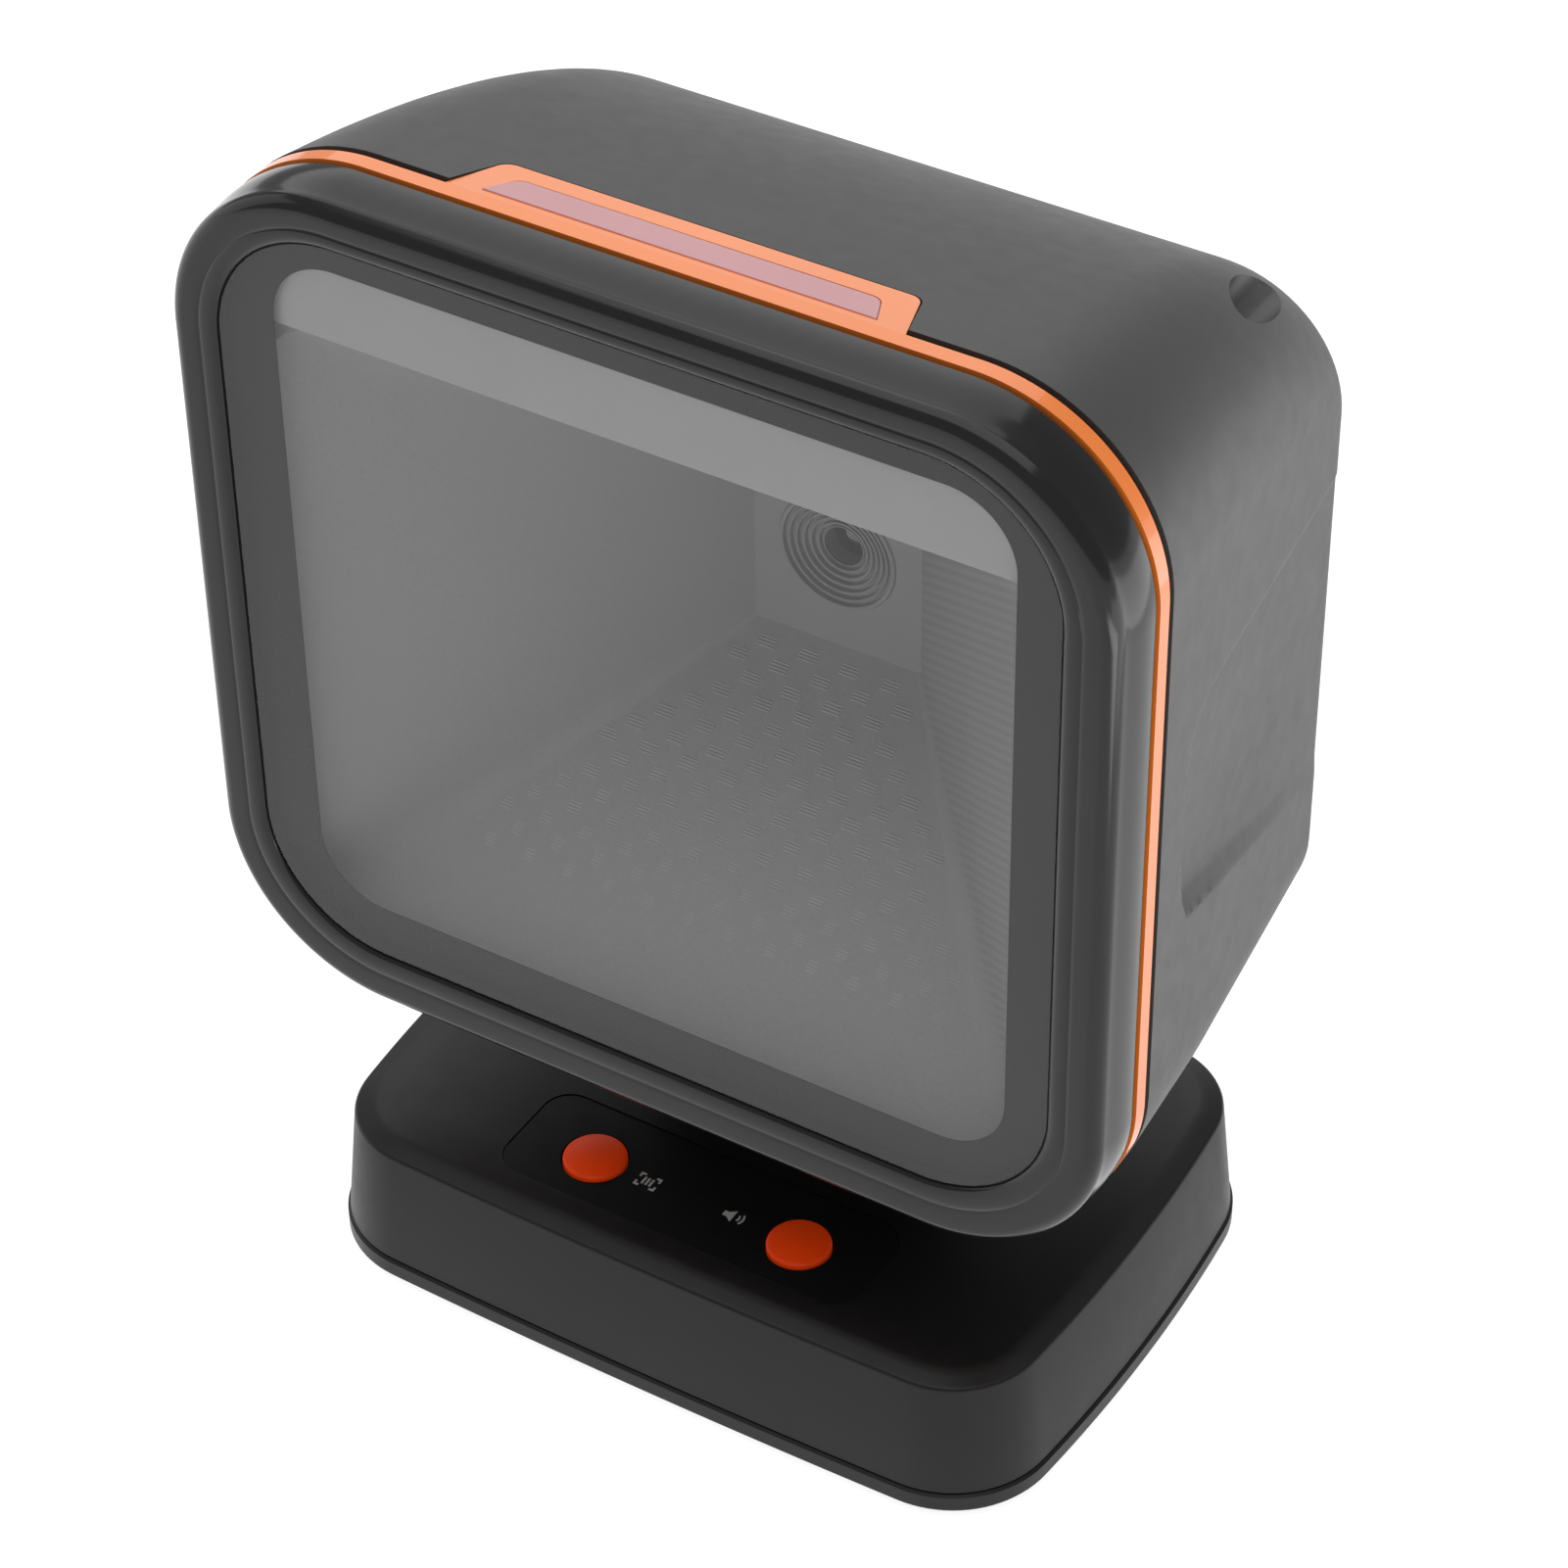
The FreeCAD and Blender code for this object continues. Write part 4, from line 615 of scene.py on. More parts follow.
# by material slot, with two more for the tunnel's ribs and the lens barrel
MATERIALS = {
    "base_black": moulded(
        "base_black_plastic", (0.006, 0.006, 0.0063), 0.4, grain=2.6, grain_depth=0.002, specular=0.34
    ),
    "housing_black": moulded(
        "housing_black_plastic", (0.055, 0.055, 0.055), 0.5, grain=3.5, grain_depth=0.003, mottle=0.04
    ),
    "bezel_black": moulded(
        "bezel_black_plastic", (0.012, 0.012, 0.0125), 0.14, grain=0.5, grain_depth=0.0002, specular=0.34
    ),
    "accent_orange": moulded(
        "accent_orange_plastic", (0.9, 0.22, 0.028), 0.4, grain_depth=0.002, mottle=0.03, coat=0.75
    ),
    # the keys' faint emission is painted light, a glow standing in for brighter lighting
    "button_orange": key_rubber("button_orange_rubber", (0.95, 0.06, 0.0015), painted_glow=0.1),
    "panel_gloss": moulded("panel_satin_black", (0.006, 0.006, 0.0063), 0.3, grain_depth=0.0, specular=0.34),
    "white_ink": moulded("white_ink", (0.5, 0.5, 0.5), 0.5, grain_depth=0.001),
    "border_black": moulded("border_black_print", (0.012, 0.012, 0.012), 0.6, grain_depth=0.0, specular=0.08),
    "tinted_glass": glass_material(),
    "lens_glass": moulded("lens_coated_glass", (0.012, 0.014, 0.02), 0.03, grain_depth=0.0, coat=1.0),
    "light_diffuser": diffusing("milky_strip", (0.34, 0.34, 0.34)),
    "bar_lens": diffusing("pink_bar_lens", (0.62, 0.32, 0.34)),
    "led_white": moulded("lamp_white", (0.75, 0.74, 0.66), 0.3, grain_depth=0.0),
    "tunnel_grey": tunnel_material(),
    "tunnel_rib": moulded("tunnel_rib_grey", (0.41, 0.41, 0.41), 0.6, grain_depth=0.0),
    "barrel_dark": moulded("barrel_dark_grey", (0.23, 0.23, 0.23), 0.45, grain_depth=0.0),
    "sensor": moulded("sensor_dark", (0.03, 0.03, 0.045), 0.1, grain_depth=0.0),
    "circuit_board": moulded("circuit_board_green", (0.012, 0.09, 0.03), 0.35, grain=1.0, grain_depth=0.004),
    "switch_black": moulded("switch_black", (0.02, 0.02, 0.02), 0.45),
    "gold_contacts": metal("gold_contacts_metal", (0.83, 0.62, 0.28), 0.25),
    "steel": metal("zinc_plated_steel", (0.55, 0.55, 0.56), 0.32),
    "rubber": moulded("foot_rubber", (0.02, 0.02, 0.02), 0.75, grain=1.6, grain_depth=0.02),
}


# ------------------------------ head: bezel, ring, glass
def bezel_section():
    """Outlines and depths of the bezel's rings, from the rear of its flank round
    the front to the ledge: the flank, a rounded corner, a face with one shallow
    groove, a crowned lip, the wall down past the glass, the ledge and its skirt."""
    corner = arc_points((FACE_EDGE, BEZEL_CREST + BEZEL_CORNER), BEZEL_CORNER, 180, 270, steps=12)
    section = [(shrunk(RING, inset), y) for inset, y in (*BEZEL_FLANK, *corner)]
    face = shrunk(RING, FACE_EDGE)
    section += [(between(face, PANE, share), BEZEL_CREST + depth) for share, depth in BEZEL_FACE]
    section += [(PANE, LEDGE_FRONT), (LEDGE_OPENING, LEDGE_FRONT), (LEDGE_OPENING, LEDGE_REAR)]
    skirt = shrunk(RING, LEDGE_SKIRT)
    return section + [(skirt, LEDGE_REAR), (skirt, BEZEL_REAR)]


def make_bezel():
    rings = [outline_ring(outline, y, corner_steps=40) for outline, y in bezel_section()]
    piece = hollow_piece("bezel_frame", rings)
    smooth(piece, angle=24)
    finish_piece(piece, "head", MATERIALS["bezel_black"], ["front_bezel"])


def make_window():
    glass = plate("window_pane", shrunk(PANE, PANE_GAP), glass_box.y0, glass_box.y1, corner_steps=32)
    soften(glass, width=0.1)
    finish_piece(glass, "head", MATERIALS["tinted_glass"], ["window_glass"])
    edge, seal_inside = (shrunk(PANE, inset) for inset in SEAL_INSETS)
    border = holed_plate("window_print", edge, WINDOW, glass_box.y1 + PRINT_GAP, border_box.y1)
    smooth(border)
    finish_piece(border, "head", MATERIALS["border_black"], ["window_border"])
    seal = holed_plate("window_seal", edge, seal_inside, glass_box.y0 + PRINT_GAP, glass_box.y1)
    smooth(seal)
    finish_piece(seal, "head", MATERIALS["border_black"])


def bar_plan(frame_sizes, extra):
    """Plan of the light bar as (x, y): wide at the front, round rear corners."""
    (front_half, front_y), (rear_half, rear_y) = frame_sizes
    front_half += extra
    rear_half += extra
    rear_y += extra
    lean = math.degrees(math.atan2(front_half - rear_half, rear_y - front_y))
    turn = 90 - lean
    reach = BAR_CORNER * math.tan(math.radians(turn / 2))
    centre = (rear_half - reach, rear_y - BAR_CORNER)
    right = [(front_half, front_y)]
    right += arc_points(centre, BAR_CORNER, 90 - turn, 90, steps=6)
    return right + [(-x, y) for x, y in reversed(right)]


def bar_prism(name, frame_sizes, extra, low, over):
    """Upright prism on a bar plan whose top follows the roof, or stands over it."""
    plan = bar_plan(frame_sizes, extra)
    return solid_piece(name, [
        [(x, y, low) for x, y in plan],
        [(x, y, roof_z(y) + over) for x, y in plan],
    ])


def band(name, outside, inside, front, rear):
    """A flat band round the head between two insets from the ring's outline."""
    profile = [(outside, front), (outside, rear), (inside, rear), (inside, front)]
    return hollow_piece(name, [outline_ring(shrunk(RING, inset), y, corner_steps=48) for inset, y in profile])


def make_accent_ring():
    ring = band("trim_ring", 0.0, RING_DEPTH, RING_FRONT, RING_REAR)
    carve(ring, bar_prism("tongue", BAR_FRAME, extra=0.0, low=BAR_LOW, over=0.0), "UNION")
    carve(ring, bar_prism("lens_hole", BAR_LENS, extra=0.0, low=BAR_LOW - 2, over=3.0))
    soften(ring, width=0.14)
    finish_piece(ring, "head", MATERIALS["accent_orange"], ["accent_ring"])
    # the ring's land, which closes the thin gaps in front of and behind the ring
    land = band("ring_land", RING_LAND_INSET, RING_DEPTH + 0.1, BEZEL_REAR, HOUSING_FRONT)
    finish_piece(land, "head", MATERIALS["bezel_black"])
    lens = bar_prism("light_bar_lens", BAR_LENS, -BAR_LENS_GAP, bar_box.z0, -BAR_LENS_SUNK)
    soften(lens, width=0.12)
    finish_piece(lens, "head", MATERIALS["bar_lens"], ["status_light_bar"])


# ------------------------------ head: housing
def housing_stations(even, closing):
    """Depths of the sections: even, then closing up on the rear rounding."""
    turn_start = HOUSING_REAR - SIDE_ROUND_LENGTH
    stations = [HOUSING_FRONT + (turn_start - HOUSING_FRONT) * k / even for k in range(even)]
    for k in range(closing + 1):
        stations.append(turn_start + SIDE_ROUND_LENGTH * math.sin(math.pi / 2 * k / closing))
    return stations


def distance_inside(point, polygon):
    """Distance from a point to a polygon's edge, negative outside."""
    px, py = point
    nearest = math.inf
    inside = False
    for (ax, ay), (bx, by) in zip(polygon, polygon[1:] + polygon[:1]):
        dx, dy = bx - ax, by - ay
        share = max(0.0, min(1.0, ((px - ax) * dx + (py - ay) * dy) / (dx * dx + dy * dy)))
        nearest = min(nearest, math.hypot(px - ax - share * dx, py - ay - share * dy))
        if (ay > py) != (by > py) and px < ax + (py - ay) * dx / dy:
            inside = not inside
    return nearest if inside else -nearest


def ease(value):
    value = max(0.0, min(1.0, value))
    return value * value * (3 - 2 * value)


def height_over_lower_edge(y, z):
    """Distance from a point up to the line of the grip's lower edge."""
    ay, az = GRIP_OUTLINE[LOWER_EDGE]
    by, bz = GRIP_OUTLINE[LOWER_EDGE + 1]
    return abs((by - ay) * (z - az) - (bz - az) * (y - ay)) / math.hypot(by - ay, bz - az)


def grip_depth(y, z):
    """How far the grip is sunk into the side: a thin step at its top and front,
    deepening downward to a face that climbs back out to a sharp lower edge."""
    inside = distance_inside((y, z), GRIP_OUTLINE)
    if inside <= 0:
        return 0.0
    fade = 1 - ease((y - GRIP_FADE[0]) / (GRIP_FADE[1] - GRIP_FADE[0]))
    over = height_over_lower_edge(y, z)
    climb = min(1.0, over / GRIP_RISE)
    to_crease = max(over - GRIP_RISE, 0.0)
    fall = ease((GRIP_TOP_Z - z) / (GRIP_TOP_Z - z + to_crease + 0.01))
    step = GRIP_STEP * (GRIP_STEP_LEFT + (1 - GRIP_STEP_LEFT) * fade)
    depth = step + (GRIP_DEPTH - GRIP_STEP) * fade * fall
    return depth * ease(inside / GRIP_CREASE) * climb


def housing_shell_shape():
    """The housing's outside with its grips, and a plain inside one wall further in."""
    steps = dict(side_steps=160, end_steps=24, corner_steps=20)
    shape = Shape()
    rings = []
    for y in housing_stations(even=118, closing=18):
        outline = housing_outline(y)
        ring = []
        for x, _, z in outline_ring(outline, y, **steps):
            if outline.z_low + outline.r_low < z < outline.z_high - outline.r_top:
                x -= math.copysign(grip_depth(y, z), x)
            ring.append((x, y, z))
        rings.append(ring)
    outside = shape.loft(rings)
    shape.cap(outside[-1])
    length = HOUSING_REAR - HOUSING_FRONT
    inner_rings = []
    for y in housing_stations(even=8, closing=5):
        depth = HOUSING_FRONT + (y - HOUSING_FRONT) * (length - HOUSING_WALL) / length
        inner_rings.append(outline_ring(shrunk(housing_outline(y), HOUSING_WALL), depth, **steps))
    inside = shape.loft(inner_rings)
    shape.cap(inside[-1])
    shape.bridge(outside[0], inside[0])
    return shape


def turned_piece(name, profile, centres, axis, segments):
    """Turns a profile of (radius, along) about an axis through each centre."""
    turns = [2 * math.pi * k / segments for k in range(segments)]
    shape = Shape()
    for cx, cy, cz in centres:
        rings = []
        for radius, along in profile:
            spokes = [(radius * math.cos(turn), radius * math.sin(turn)) for turn in turns]
            if axis == "y":
                rings.append([(cx + u, cy + along, cz + v) for u, v in spokes])
            else:
                rings.append([(cx + u, cy + v, cz + along) for u, v in spokes])
        shape.solid(rings)
    return shape.piece(name)


def blocks(name, boxes):
    shape = Shape()
    for box in boxes:
        shape.solid([
            [(box.x0, box.y0, z), (box.x1, box.y0, z), (box.x1, box.y1, z), (box.x0, box.y1, z)]
            for z in (box.z0, box.z1)
        ])
    return shape.piece(name)


def housing_core(name, inset):
    """The housing's outside as one coarse solid, to trim what lies within it."""
    stations = housing_stations(even=16, closing=8)
    return solid_piece(name, [outline_ring(shrunk(housing_outline(y), inset), y) for y in stations])


def well_rods(name, radius, low, beyond):
    """A rod along each screw well, from low to some way beyond the housing's rear."""
    profile = [(radius, low), (radius, HOUSING_REAR + beyond)]
    return turned_piece(name, profile, [(x, 0, z) for x, z in WELLS], "y", 72)


def make_housing():
    piece = housing_shell_shape().piece("head_shell")
    carve(piece, bar_prism("bar_notch", BAR_FRAME, extra=BAR_GAP, low=BAR_LOW - 3, over=3.0))
    carve(piece, blocks("lug_slot", [LUG_SLOT]))
    carve(piece, well_rods("wells", WELL_RADIUS, WELL_FLOOR, beyond=4))
    smooth(piece, angle=32)
    finish_piece(piece, "head", MATERIALS["housing_black"], ["rear_housing"])
    sleeves = well_rods("well_sleeves", WELL_RADIUS + SLEEVE_WALL, WELL_FLOOR - SLEEVE_FLOOR, beyond=3)
    carve(sleeves, housing_core("core", inset=0.25), "INTERSECT")
    carve(sleeves, well_rods("bores", WELL_RADIUS - 0.01, WELL_FLOOR, beyond=4))
    smooth(sleeves)
    finish_piece(sleeves, "head", MATERIALS["housing_black"])


def make_housing_screws():
    """Pan heads with a cross recess, facing the rear."""
    profile = [(2.3, 0.0), (2.3, 1.1), (2.1, 1.55), (1.6, 1.85), (0.9, 2.0)]
    heads = turned_piece("well_screws", profile, [(x, WELL_FLOOR, z) for x, z in WELLS], "y", 48)
    arm, slit = 1.35, 0.3
    low, high = WELL_FLOOR + 0.9, WELL_FLOOR + 3
    for name, half_x, half_z in (("recess_a", arm, slit), ("recess_b", slit, arm)):
        boxes = [Box(x - half_x, low, z - half_z, x + half_x, high, z + half_z) for x, z in WELLS]
        carve(heads, blocks(name, boxes))
    smooth(heads, angle=25)
    finish_piece(heads, "head", MATERIALS["steel"], ["housing_screws"])


# ------------------------------ inside the window
TUNNEL_WALL = 1.3
TUNNEL_FRONT_Y = LEDGE_REAR
TUNNEL_REAR_Y = 10.1
TUNNEL_FRONT = Outline(40.4, 44.2, 111.5, 5.2, 5.2)
TUNNEL_BACK = Outline(9.3, 68.6, 89.5, 0.6, 0.6)


# the tunnel's floor: its run, its length and the directions along it and out of it
FLOOR_RUN_Y = TUNNEL_REAR_Y - TUNNEL_FRONT_Y
FLOOR_RUN_Z = TUNNEL_BACK.z_low - TUNNEL_FRONT.z_low
FLOOR_LENGTH = math.hypot(FLOOR_RUN_Y, FLOOR_RUN_Z)
FLOOR_ALONG = (FLOOR_RUN_Y / FLOOR_LENGTH, FLOOR_RUN_Z / FLOOR_LENGTH)
FLOOR_UP = (-FLOOR_ALONG[1], FLOOR_ALONG[0])

RIB_ROW_PITCH = 2.0
FIRST_RIB_ROW = 5
RIB_GROUP_PITCH = 4.6
RIB_GROUP_MARGIN = 1.6  # bare strip of the floor beside each wall
RIBS_IN_GROUP = 4
RIB_PITCH = 0.34
RIB_HALF_LENGTH = 0.95
RIB_HALF_WIDTH = 0.1
RIB_SUNK = 0.05
RIB_HEIGHT = (0.01, 0.06)  # least height, and what full growth adds
RIB_GROWTH = (0.2, 0.45)  # share of the floor where ribs start to grow, and over which they do


def tunnel_at(share):
    return between(TUNNEL_FRONT, TUNNEL_BACK, share)


def make_tunnel():
    steps = dict(side_steps=6, end_steps=6, corner_steps=5)
    shares = (0.0, 0.25, 0.5, 0.75, 1.0)
    walls = [(share, 0.0) for share in shares] + [(share, TUNNEL_WALL) for share in reversed(shares)]
    piece = hollow_piece("tunnel_walls", [
        outline_ring(shrunk(tunnel_at(share), -wall), TUNNEL_FRONT_Y + FLOOR_RUN_Y * share, **steps)
        for share, wall in walls
    ])
    smooth(piece)
    finish_piece(piece, "head", MATERIALS["tunnel_grey"], ["optical_tunnel"])


def make_tunnel_ribs():
    """Groups of short raised ribs, staggered over the tunnel's floor and
    growing smaller towards the window."""
    shape = Shape()
    for row in range(FIRST_RIB_ROW, int(FLOOR_LENGTH / RIB_ROW_PITCH)):
        share = (row + 0.3) * RIB_ROW_PITCH / FLOOR_LENGTH
        strength = ease((share - RIB_GROWTH[0]) / RIB_GROWTH[1])
        half_length = RIB_HALF_LENGTH * (0.5 + 0.5 * strength)
        height = RIB_HEIGHT[1] * strength + RIB_HEIGHT[0]
        offset = RIB_GROUP_PITCH / 2 if row % 2 else 0.0
        half_floor = tunnel_at(share).half_width - RIB_GROUP_MARGIN
        columns = int(half_floor / RIB_GROUP_PITCH) + 1
        for column in range(-columns, columns + 1):
            x = column * RIB_GROUP_PITCH + offset
            if abs(x) + RIB_HALF_LENGTH > half_floor:
                continue
            for rib in range(RIBS_IN_GROUP):
                at = share + (rib - (RIBS_IN_GROUP - 1) / 2) * RIB_PITCH / FLOOR_LENGTH
                add_rib(shape, x, half_length, at, height)
    finish_piece(shape.piece("tunnel_ribs"), "head", MATERIALS["tunnel_rib"])


def add_rib(shape, x, half_length, share, height):
    """One low ridge across the tunnel's floor, narrower at its top."""
    y = TUNNEL_FRONT_Y + FLOOR_RUN_Y * share
    z = TUNNEL_FRONT.z_low + FLOOR_RUN_Z * share
    foot, crest = RIB_HALF_WIDTH, RIB_HALF_WIDTH * 0.4
    section = [
        (y + FLOOR_ALONG[0] * a + FLOOR_UP[0] * u, z + FLOOR_ALONG[1] * a + FLOOR_UP[1] * u)
        for a, u in ((-foot, -RIB_SUNK), (foot, -RIB_SUNK), (crest, height), (-crest, height))
    ]
    shape.solid([[(end, a, b) for a, b in section] for end in (x - half_length, x + half_length)])


def make_light_strip():
    """The milky strip behind the top of the window."""
    outline = shrunk(LEDGE_OPENING, STRIP_GAP)
    piece = plate("light_strip", outline, diffuser_box.y0, diffuser_box.y1)
    upper_part = Box(-60, -30, diffuser_box.z0, 60, 0, 140)
    carve(piece, blocks("strip_part", [upper_part]), "INTERSECT")
    soften(piece, width=0.15)
    finish_piece(piece, "head", MATERIALS["light_diffuser"], ["illumination_diffuser"])


BORE_RADIUS = 6.5
BARREL_RADIUS = 6.48
BARREL_LENGTH = 8.0
BARREL_RINGS = 6
BARREL_RING_STEP = (0.68, 0.22)  # how far each ring is smaller and deeper than the one before
LENS_SEAT_RADIUS = 2.25
LENS_RADIUS = 2.2
LENS_DEPTH = 2.6  # from the barrel's front to the lens
LENS_DOME = 0.55
LENS_RIM = 0.75
LENS_STEPS = 8


def make_engine_face():
    outline = Outline(faceplate_box.x1, faceplate_box.z0, faceplate_box.z1, 1.5, 1.5)
    steps = dict(side_steps=2, end_steps=2, corner_steps=6)
    face = plate("engine_face", outline, TUNNEL_REAR_Y, TUNNEL_REAR_Y + 1.2, **steps)
    bore = [(BORE_RADIUS, -3.0), (BORE_RADIUS, 4.0)]
    carve(face, turned_piece("bore", bore, [(0, TUNNEL_REAR_Y, LENS_Z)], "y", 96))
    smooth(face)
    finish_piece(face, "head", MATERIALS["tunnel_grey"], ["engine_faceplate"])


def make_lens_barrel():
    """A tube whose front steps back to the lens in narrow rings."""
    profile = [(BARREL_RADIUS, BARREL_LENGTH), (BARREL_RADIUS, 0.15), (BARREL_RADIUS - 0.12, 0.0)]
    radius, depth = 6.0, 0.0
    narrower, deeper = BARREL_RING_STEP
    for _ in range(BARREL_RINGS):
        profile += [(radius, depth), (radius - 0.08, depth + 0.5), (radius - 0.42, depth + 0.55)]
        profile += [(radius - 0.46, depth + 0.22)]
        radius -= narrower
        depth += deeper
    profile += [(LENS_SEAT_RADIUS, depth), (LENS_SEAT_RADIUS, 3.4), (2.0, 3.5), (2.0, BARREL_LENGTH)]
    segments = 96
    turns = [2 * math.pi * k / segments for k in range(segments)]
    barrel = hollow_piece("lens_rings", [
        [(r * math.cos(turn), barrel_box.y0 + along, LENS_Z + r * math.sin(turn)) for turn in turns]
        for r, along in profile
    ])
    smooth(barrel, angle=25)
    finish_piece(barrel, "head", MATERIALS["barrel_dark"], ["lens_barrel"])


def make_lens():
    profile = [(LENS_RADIUS, 1.2), (LENS_RADIUS, LENS_RIM)]
    for k in range(1, LENS_STEPS):
        r = LENS_RADIUS * (1 - k / LENS_STEPS)
        profile.append((r, LENS_RIM - LENS_DOME * (1 - (r / LENS_RADIUS) ** 2)))
    lens = turned_piece("lens_front", profile, [(0, barrel_box.y0 + LENS_DEPTH, LENS_Z)], "y", 64)
    smooth(lens, angle=40)
    finish_piece(lens, "head", MATERIALS["lens_glass"], ["camera_lens"])


# ------------------------------ base
# the base's outside above the seam as (inset, z); arc_through rounds its shoulder
SHELL_SIDE = ((0.55, SEAM_Z), (0.28, SEAM_Z + 0.22), (1.54, 15.9))
SHELL_SHOULDER = ((1.6, 16.05), (1.72, 16.22), (1.95, 16.34))
SHELL_TOP = ((2.9, 16.74), (3.7, 17.0), (4.2, BASE_TOP), (9.0, BASE_TOP))
SHELL_INSIDE = ((9.0, 15.2), (3.9, 15.2), (2.45, SEAM_Z))
PLATE_SIDE = ((0.75, plate_box.z0), (0.25, 0.75), (0.0, 1.1), (0.0, 2.75), (0.3, SEAM_Z - 0.02))
FOOT_PROFILE = (
    (1.2, 0.25), (1.5, 0.05), (2.6, 0.0), (2.9, 0.2), (3.2, 0.2), (3.5, 0.0), (4.1, 0.0),
    (4.45, 0.15), (4.6, 0.45), (4.6, 1.58),
)


def base_corner_centre():
    """Centre of the corner arc, tangent inside both the side and the front arc."""
    side = (BASE_HALF_WIDTH - BASE_SIDE_RADIUS, 0.0)
    front = (0.0, BASE_HALF_DEPTH - BASE_FRONT_RADIUS)
    side_r = BASE_SIDE_RADIUS - BASE_CORNER_RADIUS
    front_r = BASE_FRONT_RADIUS - BASE_CORNER_RADIUS
    dx, dy = front[0] - side[0], front[1] - side[1]
    gap = math.hypot(dx, dy)
    along = (gap**2 + side_r**2 - front_r**2) / (2 * gap)
    across = math.sqrt(side_r**2 - along**2)
    middle = (side[0] + along * dx / gap, side[1] + along * dy / gap)
    for sign in (-1, 1):
        x = middle[0] - sign * across * dy / gap
        y = middle[1] + sign * across * dx / gap
        if x > 0 and y > 0:
            return x, y
    raise ValueError("the base's arcs don't meet")


def base_ring(inset, z):
    """Points round the base: bulging sides joined by tangent corner arcs."""
    corner = base_corner_centre()
    side_x = BASE_HALF_WIDTH - BASE_SIDE_RADIUS
    front_y = BASE_HALF_DEPTH - BASE_FRONT_RADIUS
    side_turn = math.degrees(math.atan2(corner[1], corner[0] - side_x))
    front_turn = math.degrees(math.atan2(corner[0], corner[1] - front_y))
    quarter = arc_points((side_x, 0.0), BASE_SIDE_RADIUS - inset, 0.0, side_turn, steps=14)
    quarter += arc_points(corner, BASE_CORNER_RADIUS - inset, side_turn, 90 - front_turn, steps=20)[1:]
    quarter += arc_points((0.0, front_y), BASE_FRONT_RADIUS - inset, 90 - front_turn, 90, steps=20)[1:]
    points = quarter[:-1]
    points += [(-x, y) for x, y in reversed(quarter[1:])]
    points += [(-x, -y) for x, y in quarter[:-1]]
    points += [(x, -y) for x, y in reversed(quarter[1:])]
    return [(x, y, z) for x, y in points]


def rounded_slab(name, box, gap, z0, z1):
    """A flat slab with rounded upright edges, wider than the box by gap all round."""
    radius = PANEL_CORNER + gap
    x0, x1 = box.x0 - gap, box.x1 + gap
    y0, y1 = box.y0 - gap, box.y1 + gap
    plan = []
    for cx, cy, turn in (
        (x1 - radius, y1 - radius, 0), (x0 + radius, y1 - radius, 90),
        (x0 + radius, y0 + radius, 180), (x1 - radius, y0 + radius, 270),
    ):
        plan += arc_points((cx, cy), radius, turn, turn + 90, steps=10)
    return solid_piece(name, [[(x, y, z) for x, y in plan] for z in (z0, z1)])


def make_base_shell():
    """A shallow tray upside down: sloping sides, a soft shoulder and a flat top."""
    outside = [*SHELL_SIDE, *arc_through(*SHELL_SHOULDER, steps=4), *SHELL_TOP]
    shape = Shape()
    outer = shape.loft([base_ring(inset, z) for inset, z in outside])
    shape.cap(outer[-1])
    inner = shape.loft([base_ring(inset, z) for inset, z in SHELL_INSIDE])
    shape.cap(inner[0])
    shape.bridge(inner[-1], outer[0])
    piece = shape.piece("base_cover")
    carve(piece, rounded_slab("recess", panel_box, PANEL_GAP, panel_box.z0 - PANEL_GAP, BASE_TOP + 2))
    carve(piece, blocks("socket_way", [Box(
        socket_box.x0 - SOCKET_GAP, 22, socket_box.z0 - SOCKET_GAP,
        socket_box.x1 + SOCKET_GAP, 34, socket_box.z1 + SOCKET_GAP,
    )]))
    smooth(piece, angle=30)
    finish_piece(piece, "base", MATERIALS["base_black"], ["base_shell"])


def make_base_plate():
    """The floor plate under the seam, with a recess for each foot."""
    piece = solid_piece("floor_plate", [base_ring(inset, z) for inset, z in PLATE_SIDE])
    radius, height = FOOT_RECESS
    carve(piece, turned_piece("foot_recesses", [(radius, -1.0), (radius, height)], FEET, "z", 64))
    smooth(piece, angle=30)
    finish_piece(piece, "base", MATERIALS["base_black"], ["base_bottom_plate"])


def make_feet():
    feet = turned_piece("soft_feet", FOOT_PROFILE, FEET, "z", 64)
    smooth(feet, angle=40)
    finish_piece(feet, "base", MATERIALS["rubber"], ["rubber_feet"])


def middle_of(box, z):
    return (box.x0 + box.x1) / 2, (box.y0 + box.y1) / 2, z


def make_panel():
    panel = rounded_slab("button_plate", panel_box, 0.0, panel_box.z0, panel_box.z1)
    centres = [middle_of(box_of(node), 14) for node in ("scan_mode_button", "volume_button")]
    radius = BUTTON_RADIUS + BUTTON_HOLE_GAP
    carve(panel, turned_piece("holes", [(radius, 0.0), (radius, 6.0)], centres, "z", 72))
    soften(panel, width=0.08)
    finish_piece(panel, "base", MATERIALS["panel_gloss"], ["button_panel"])


def make_button(name, node, body):
    """A domed key with a flange under the panel."""
    box = box_of(node)
    centre = middle_of(box, 0)
    edge = box.z1 - BUTTON_DOME
    rim = BUTTON_RADIUS - BUTTON_EDGE
    neck, flange = BUTTON_FLANGE
    profile = [
        (box.x1 - centre[0], box.z0), (neck, box.z0 + flange), (BUTTON_RADIUS, box.z0 + flange),
        (BUTTON_RADIUS, edge - 0.28), (BUTTON_RADIUS - 0.06, edge - 0.12), (rim, edge),
    ]
    for k in range(1, DOME_STEPS):
        r = rim * (1 - k / DOME_STEPS)
        profile.append((r, edge + (box.z1 - edge) * (1 - (r / rim) ** 2)))
    piece = turned_piece(name, profile, [centre], "z", 96)
    smooth(piece, angle=40)
    finish_piece(piece, body, MATERIALS["button_orange"], [node])


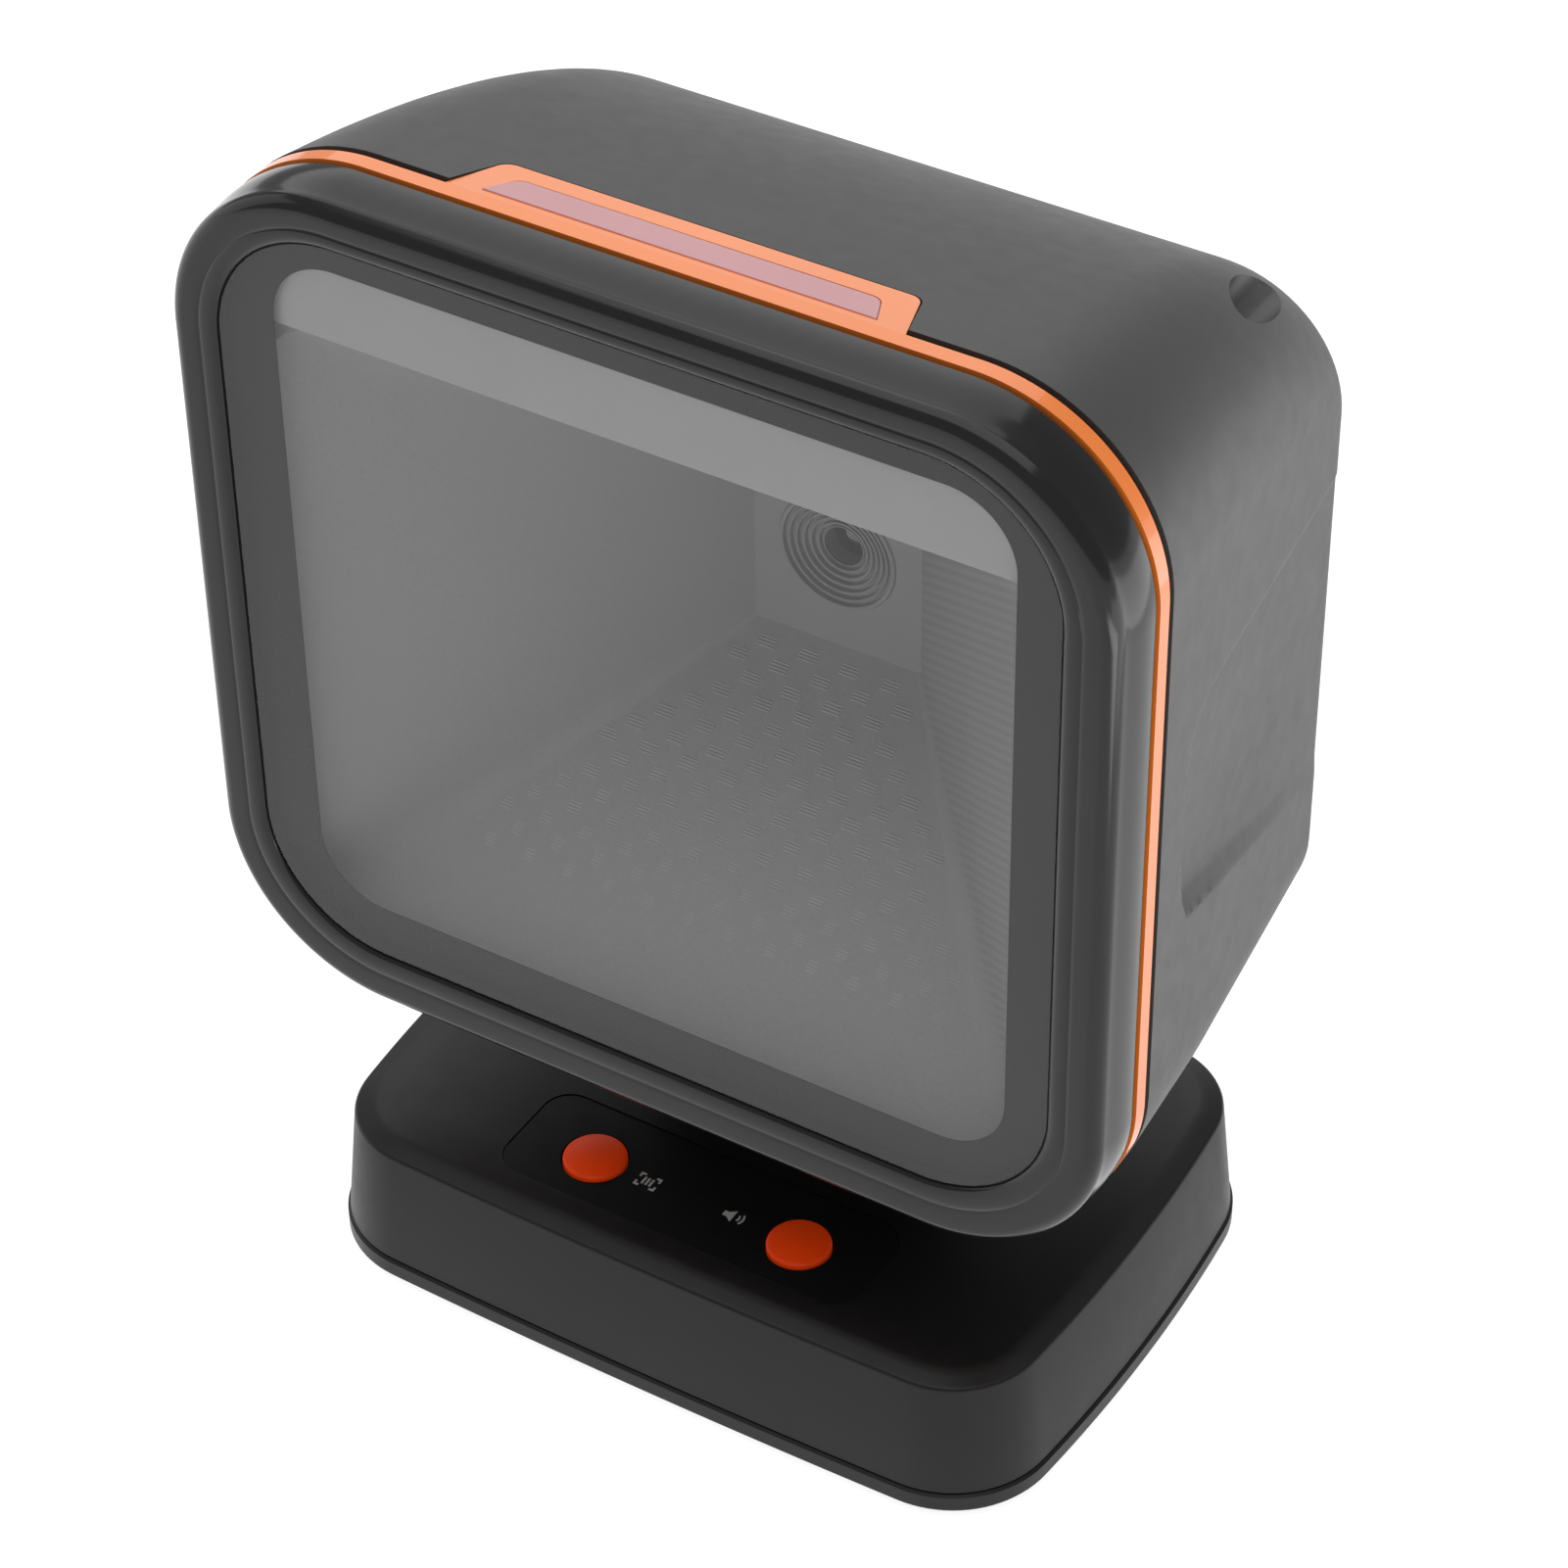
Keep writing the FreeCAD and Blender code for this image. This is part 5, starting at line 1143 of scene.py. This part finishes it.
# ------------------------------ parts kept from the frame
SOFTENED_ANGLE = 30.0
# new piece, CAD node, width of its eased edges and slot
SOFTENED = (
    ("neck_column", "neck_yoke", 0.45, "base_black"),
    ("pivot_covers", "hinge_caps", 0.0, "base_black"),
    ("lead_socket", "cable_socket", 0.12, "switch_black"),
    ("tilt_lug", "hinge_bracket", 0.25, "housing_black"),
)


def softened_copy(name, node, width, slot):
    """The CAD part's own shape with its flat faces joined and its edges eased."""
    source = frame["nodes"][node]
    data = source.data.copy()
    work = bmesh.new()
    work.from_mesh(data)
    bmesh.ops.remove_doubles(work, verts=work.verts, dist=1e-6)
    bmesh.ops.dissolve_limit(work, angle_limit=math.radians(1.0), verts=work.verts, edges=work.edges)
    bmesh.ops.recalc_face_normals(work, faces=work.faces)
    work.to_mesh(data)
    work.free()
    piece = add_object(name, data)
    if width:
        soften(piece, width, SOFTENED_ANGLE)
    else:
        smooth(piece, SOFTENED_ANGLE)
    finish_piece(piece, source["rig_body"], MATERIALS[slot], [node])


def dress_cad_nodes():
    """Gives every CAD node that still shows the material of its slot."""
    slots = {entry["node"]: entry["material_slot"] for entry in frame["record"]["subparts"]}
    for name, node in frame["nodes"].items():
        if node.hide_render:
            continue
        node.data.materials.clear()
        node.data.materials.append(MATERIALS[slots[name]])


# ------------------------------ studio
FLOOR_HALF = 3.0  # metres
HEAD_CENTRE = Vector((0.0, 0.0, 0.08))
CAMERA_PLACE = (190.81, -305.74, 353.93)
CAMERA_BACK = (0.4094, -0.6558, 0.6343)
CAMERA_ROLL = math.radians(-0.79)
CAMERA_LENS = 110.77

def make_floor():
    """Pale floor that gives off light, so that the object's shadow stays faint."""
    half = FLOOR_HALF
    data = bpy.data.meshes.new("floor")
    corners = [(-half, -half, 0), (half, -half, 0), (half, half, 0), (-half, half, 0)]
    data.from_pydata(corners, [], [(0, 1, 2, 3)])
    floor = add_object("floor", data)
    material, _, shader = new_material("pale_floor")
    set_inputs(shader, {
        "Base Color": (0.35, 0.35, 0.35, 1.0), "Roughness": 0.9, "Specular IOR Level": 0.0,
        "Emission Color": WHITE, "Emission Strength": 0.9,
    })
    data.materials.append(material)


def make_world():
    world = bpy.data.worlds.new("studio")
    world.use_nodes = True
    set_inputs(world.node_tree.nodes["Background"], {"Color": WHITE, "Strength": 0.34})
    bpy.context.scene.world = world


# lamps, all hidden from the camera: name, centre, width and height in metres, radiance
SOFTBOXES = (
    ("overhead", (0.0, 0.0, 1.3), 1.4, 1.4, 1.5),
    ("back_left", (-0.49, 0.79, 0.84), 1.2, 1.0, 1.1),
    ("left", (-1.2, -0.2, 0.5), 1.0, 0.9, 0.7),
)
# lamps just above the floor, facing up, for reflections on the side at +X
FLOOR_PANELS = (
    ("right_panel", (0.38, 0.16, 0.004), 0.42, 0.7, 1.4),
    ("right_strip", (0.2, -0.14, 0.005), 0.1, 0.16, 3.0),
)


def area_light(name, centre, wide, high, radiance, aim):
    data = bpy.data.lights.new(name, "AREA")
    data.shape = "RECTANGLE"
    data.size = wide
    data.size_y = high
    data.energy = math.pi * wide * high * radiance
    lamp = bpy.data.objects.new(name, data)
    bpy.context.scene.collection.objects.link(lamp)
    lamp.location = centre
    lamp.rotation_euler = aim.to_track_quat("-Z", "Y").to_euler()
    lamp.visible_camera = False


def make_lights():
    for name, centre, wide, high, radiance in SOFTBOXES:
        area_light(name, centre, wide, high, radiance, HEAD_CENTRE - Vector(centre))
    for name, centre, wide, high, radiance in FLOOR_PANELS:
        area_light(name, centre, wide, high, radiance, Vector((0, 0, 1)))


def make_camera():
    """Looks down on the front and the side at +X, with a slight roll."""
    back = Vector(CAMERA_BACK).normalized()
    right = Vector((0, 0, 1)).cross(back).normalized()
    up = back.cross(right)
    turned_right = right * math.cos(CAMERA_ROLL) + up * math.sin(CAMERA_ROLL)
    turned_up = up * math.cos(CAMERA_ROLL) - right * math.sin(CAMERA_ROLL)
    data = bpy.data.cameras.new("camera")
    data.lens = CAMERA_LENS
    data.sensor_width = 36.0
    camera = bpy.data.objects.new("camera", data)
    bpy.context.scene.collection.objects.link(camera)
    turn = Matrix((turned_right, turned_up, back)).transposed().to_4x4()
    camera.matrix_world = Matrix.Translation(spot(*CAMERA_PLACE)) @ turn
    bpy.context.scene.camera = camera


make_camera()
make_bezel()
make_window()
make_accent_ring()
make_housing()
make_housing_screws()
make_tunnel()
make_tunnel_ribs()
make_light_strip()
make_engine_face()
make_lens_barrel()
make_lens()
make_base_shell()
make_base_plate()
make_feet()
make_panel()
make_button("mode_key", "scan_mode_button", "scan_button")
make_button("volume_key", "volume_button", "volume_button_body")
for new_name, cad_name, edge_width, slot_name in SOFTENED:
    softened_copy(new_name, cad_name, edge_width, slot_name)
dress_cad_nodes()
make_floor()
make_world()
make_lights()
bpy.context.scene.view_settings.view_transform = "Standard"
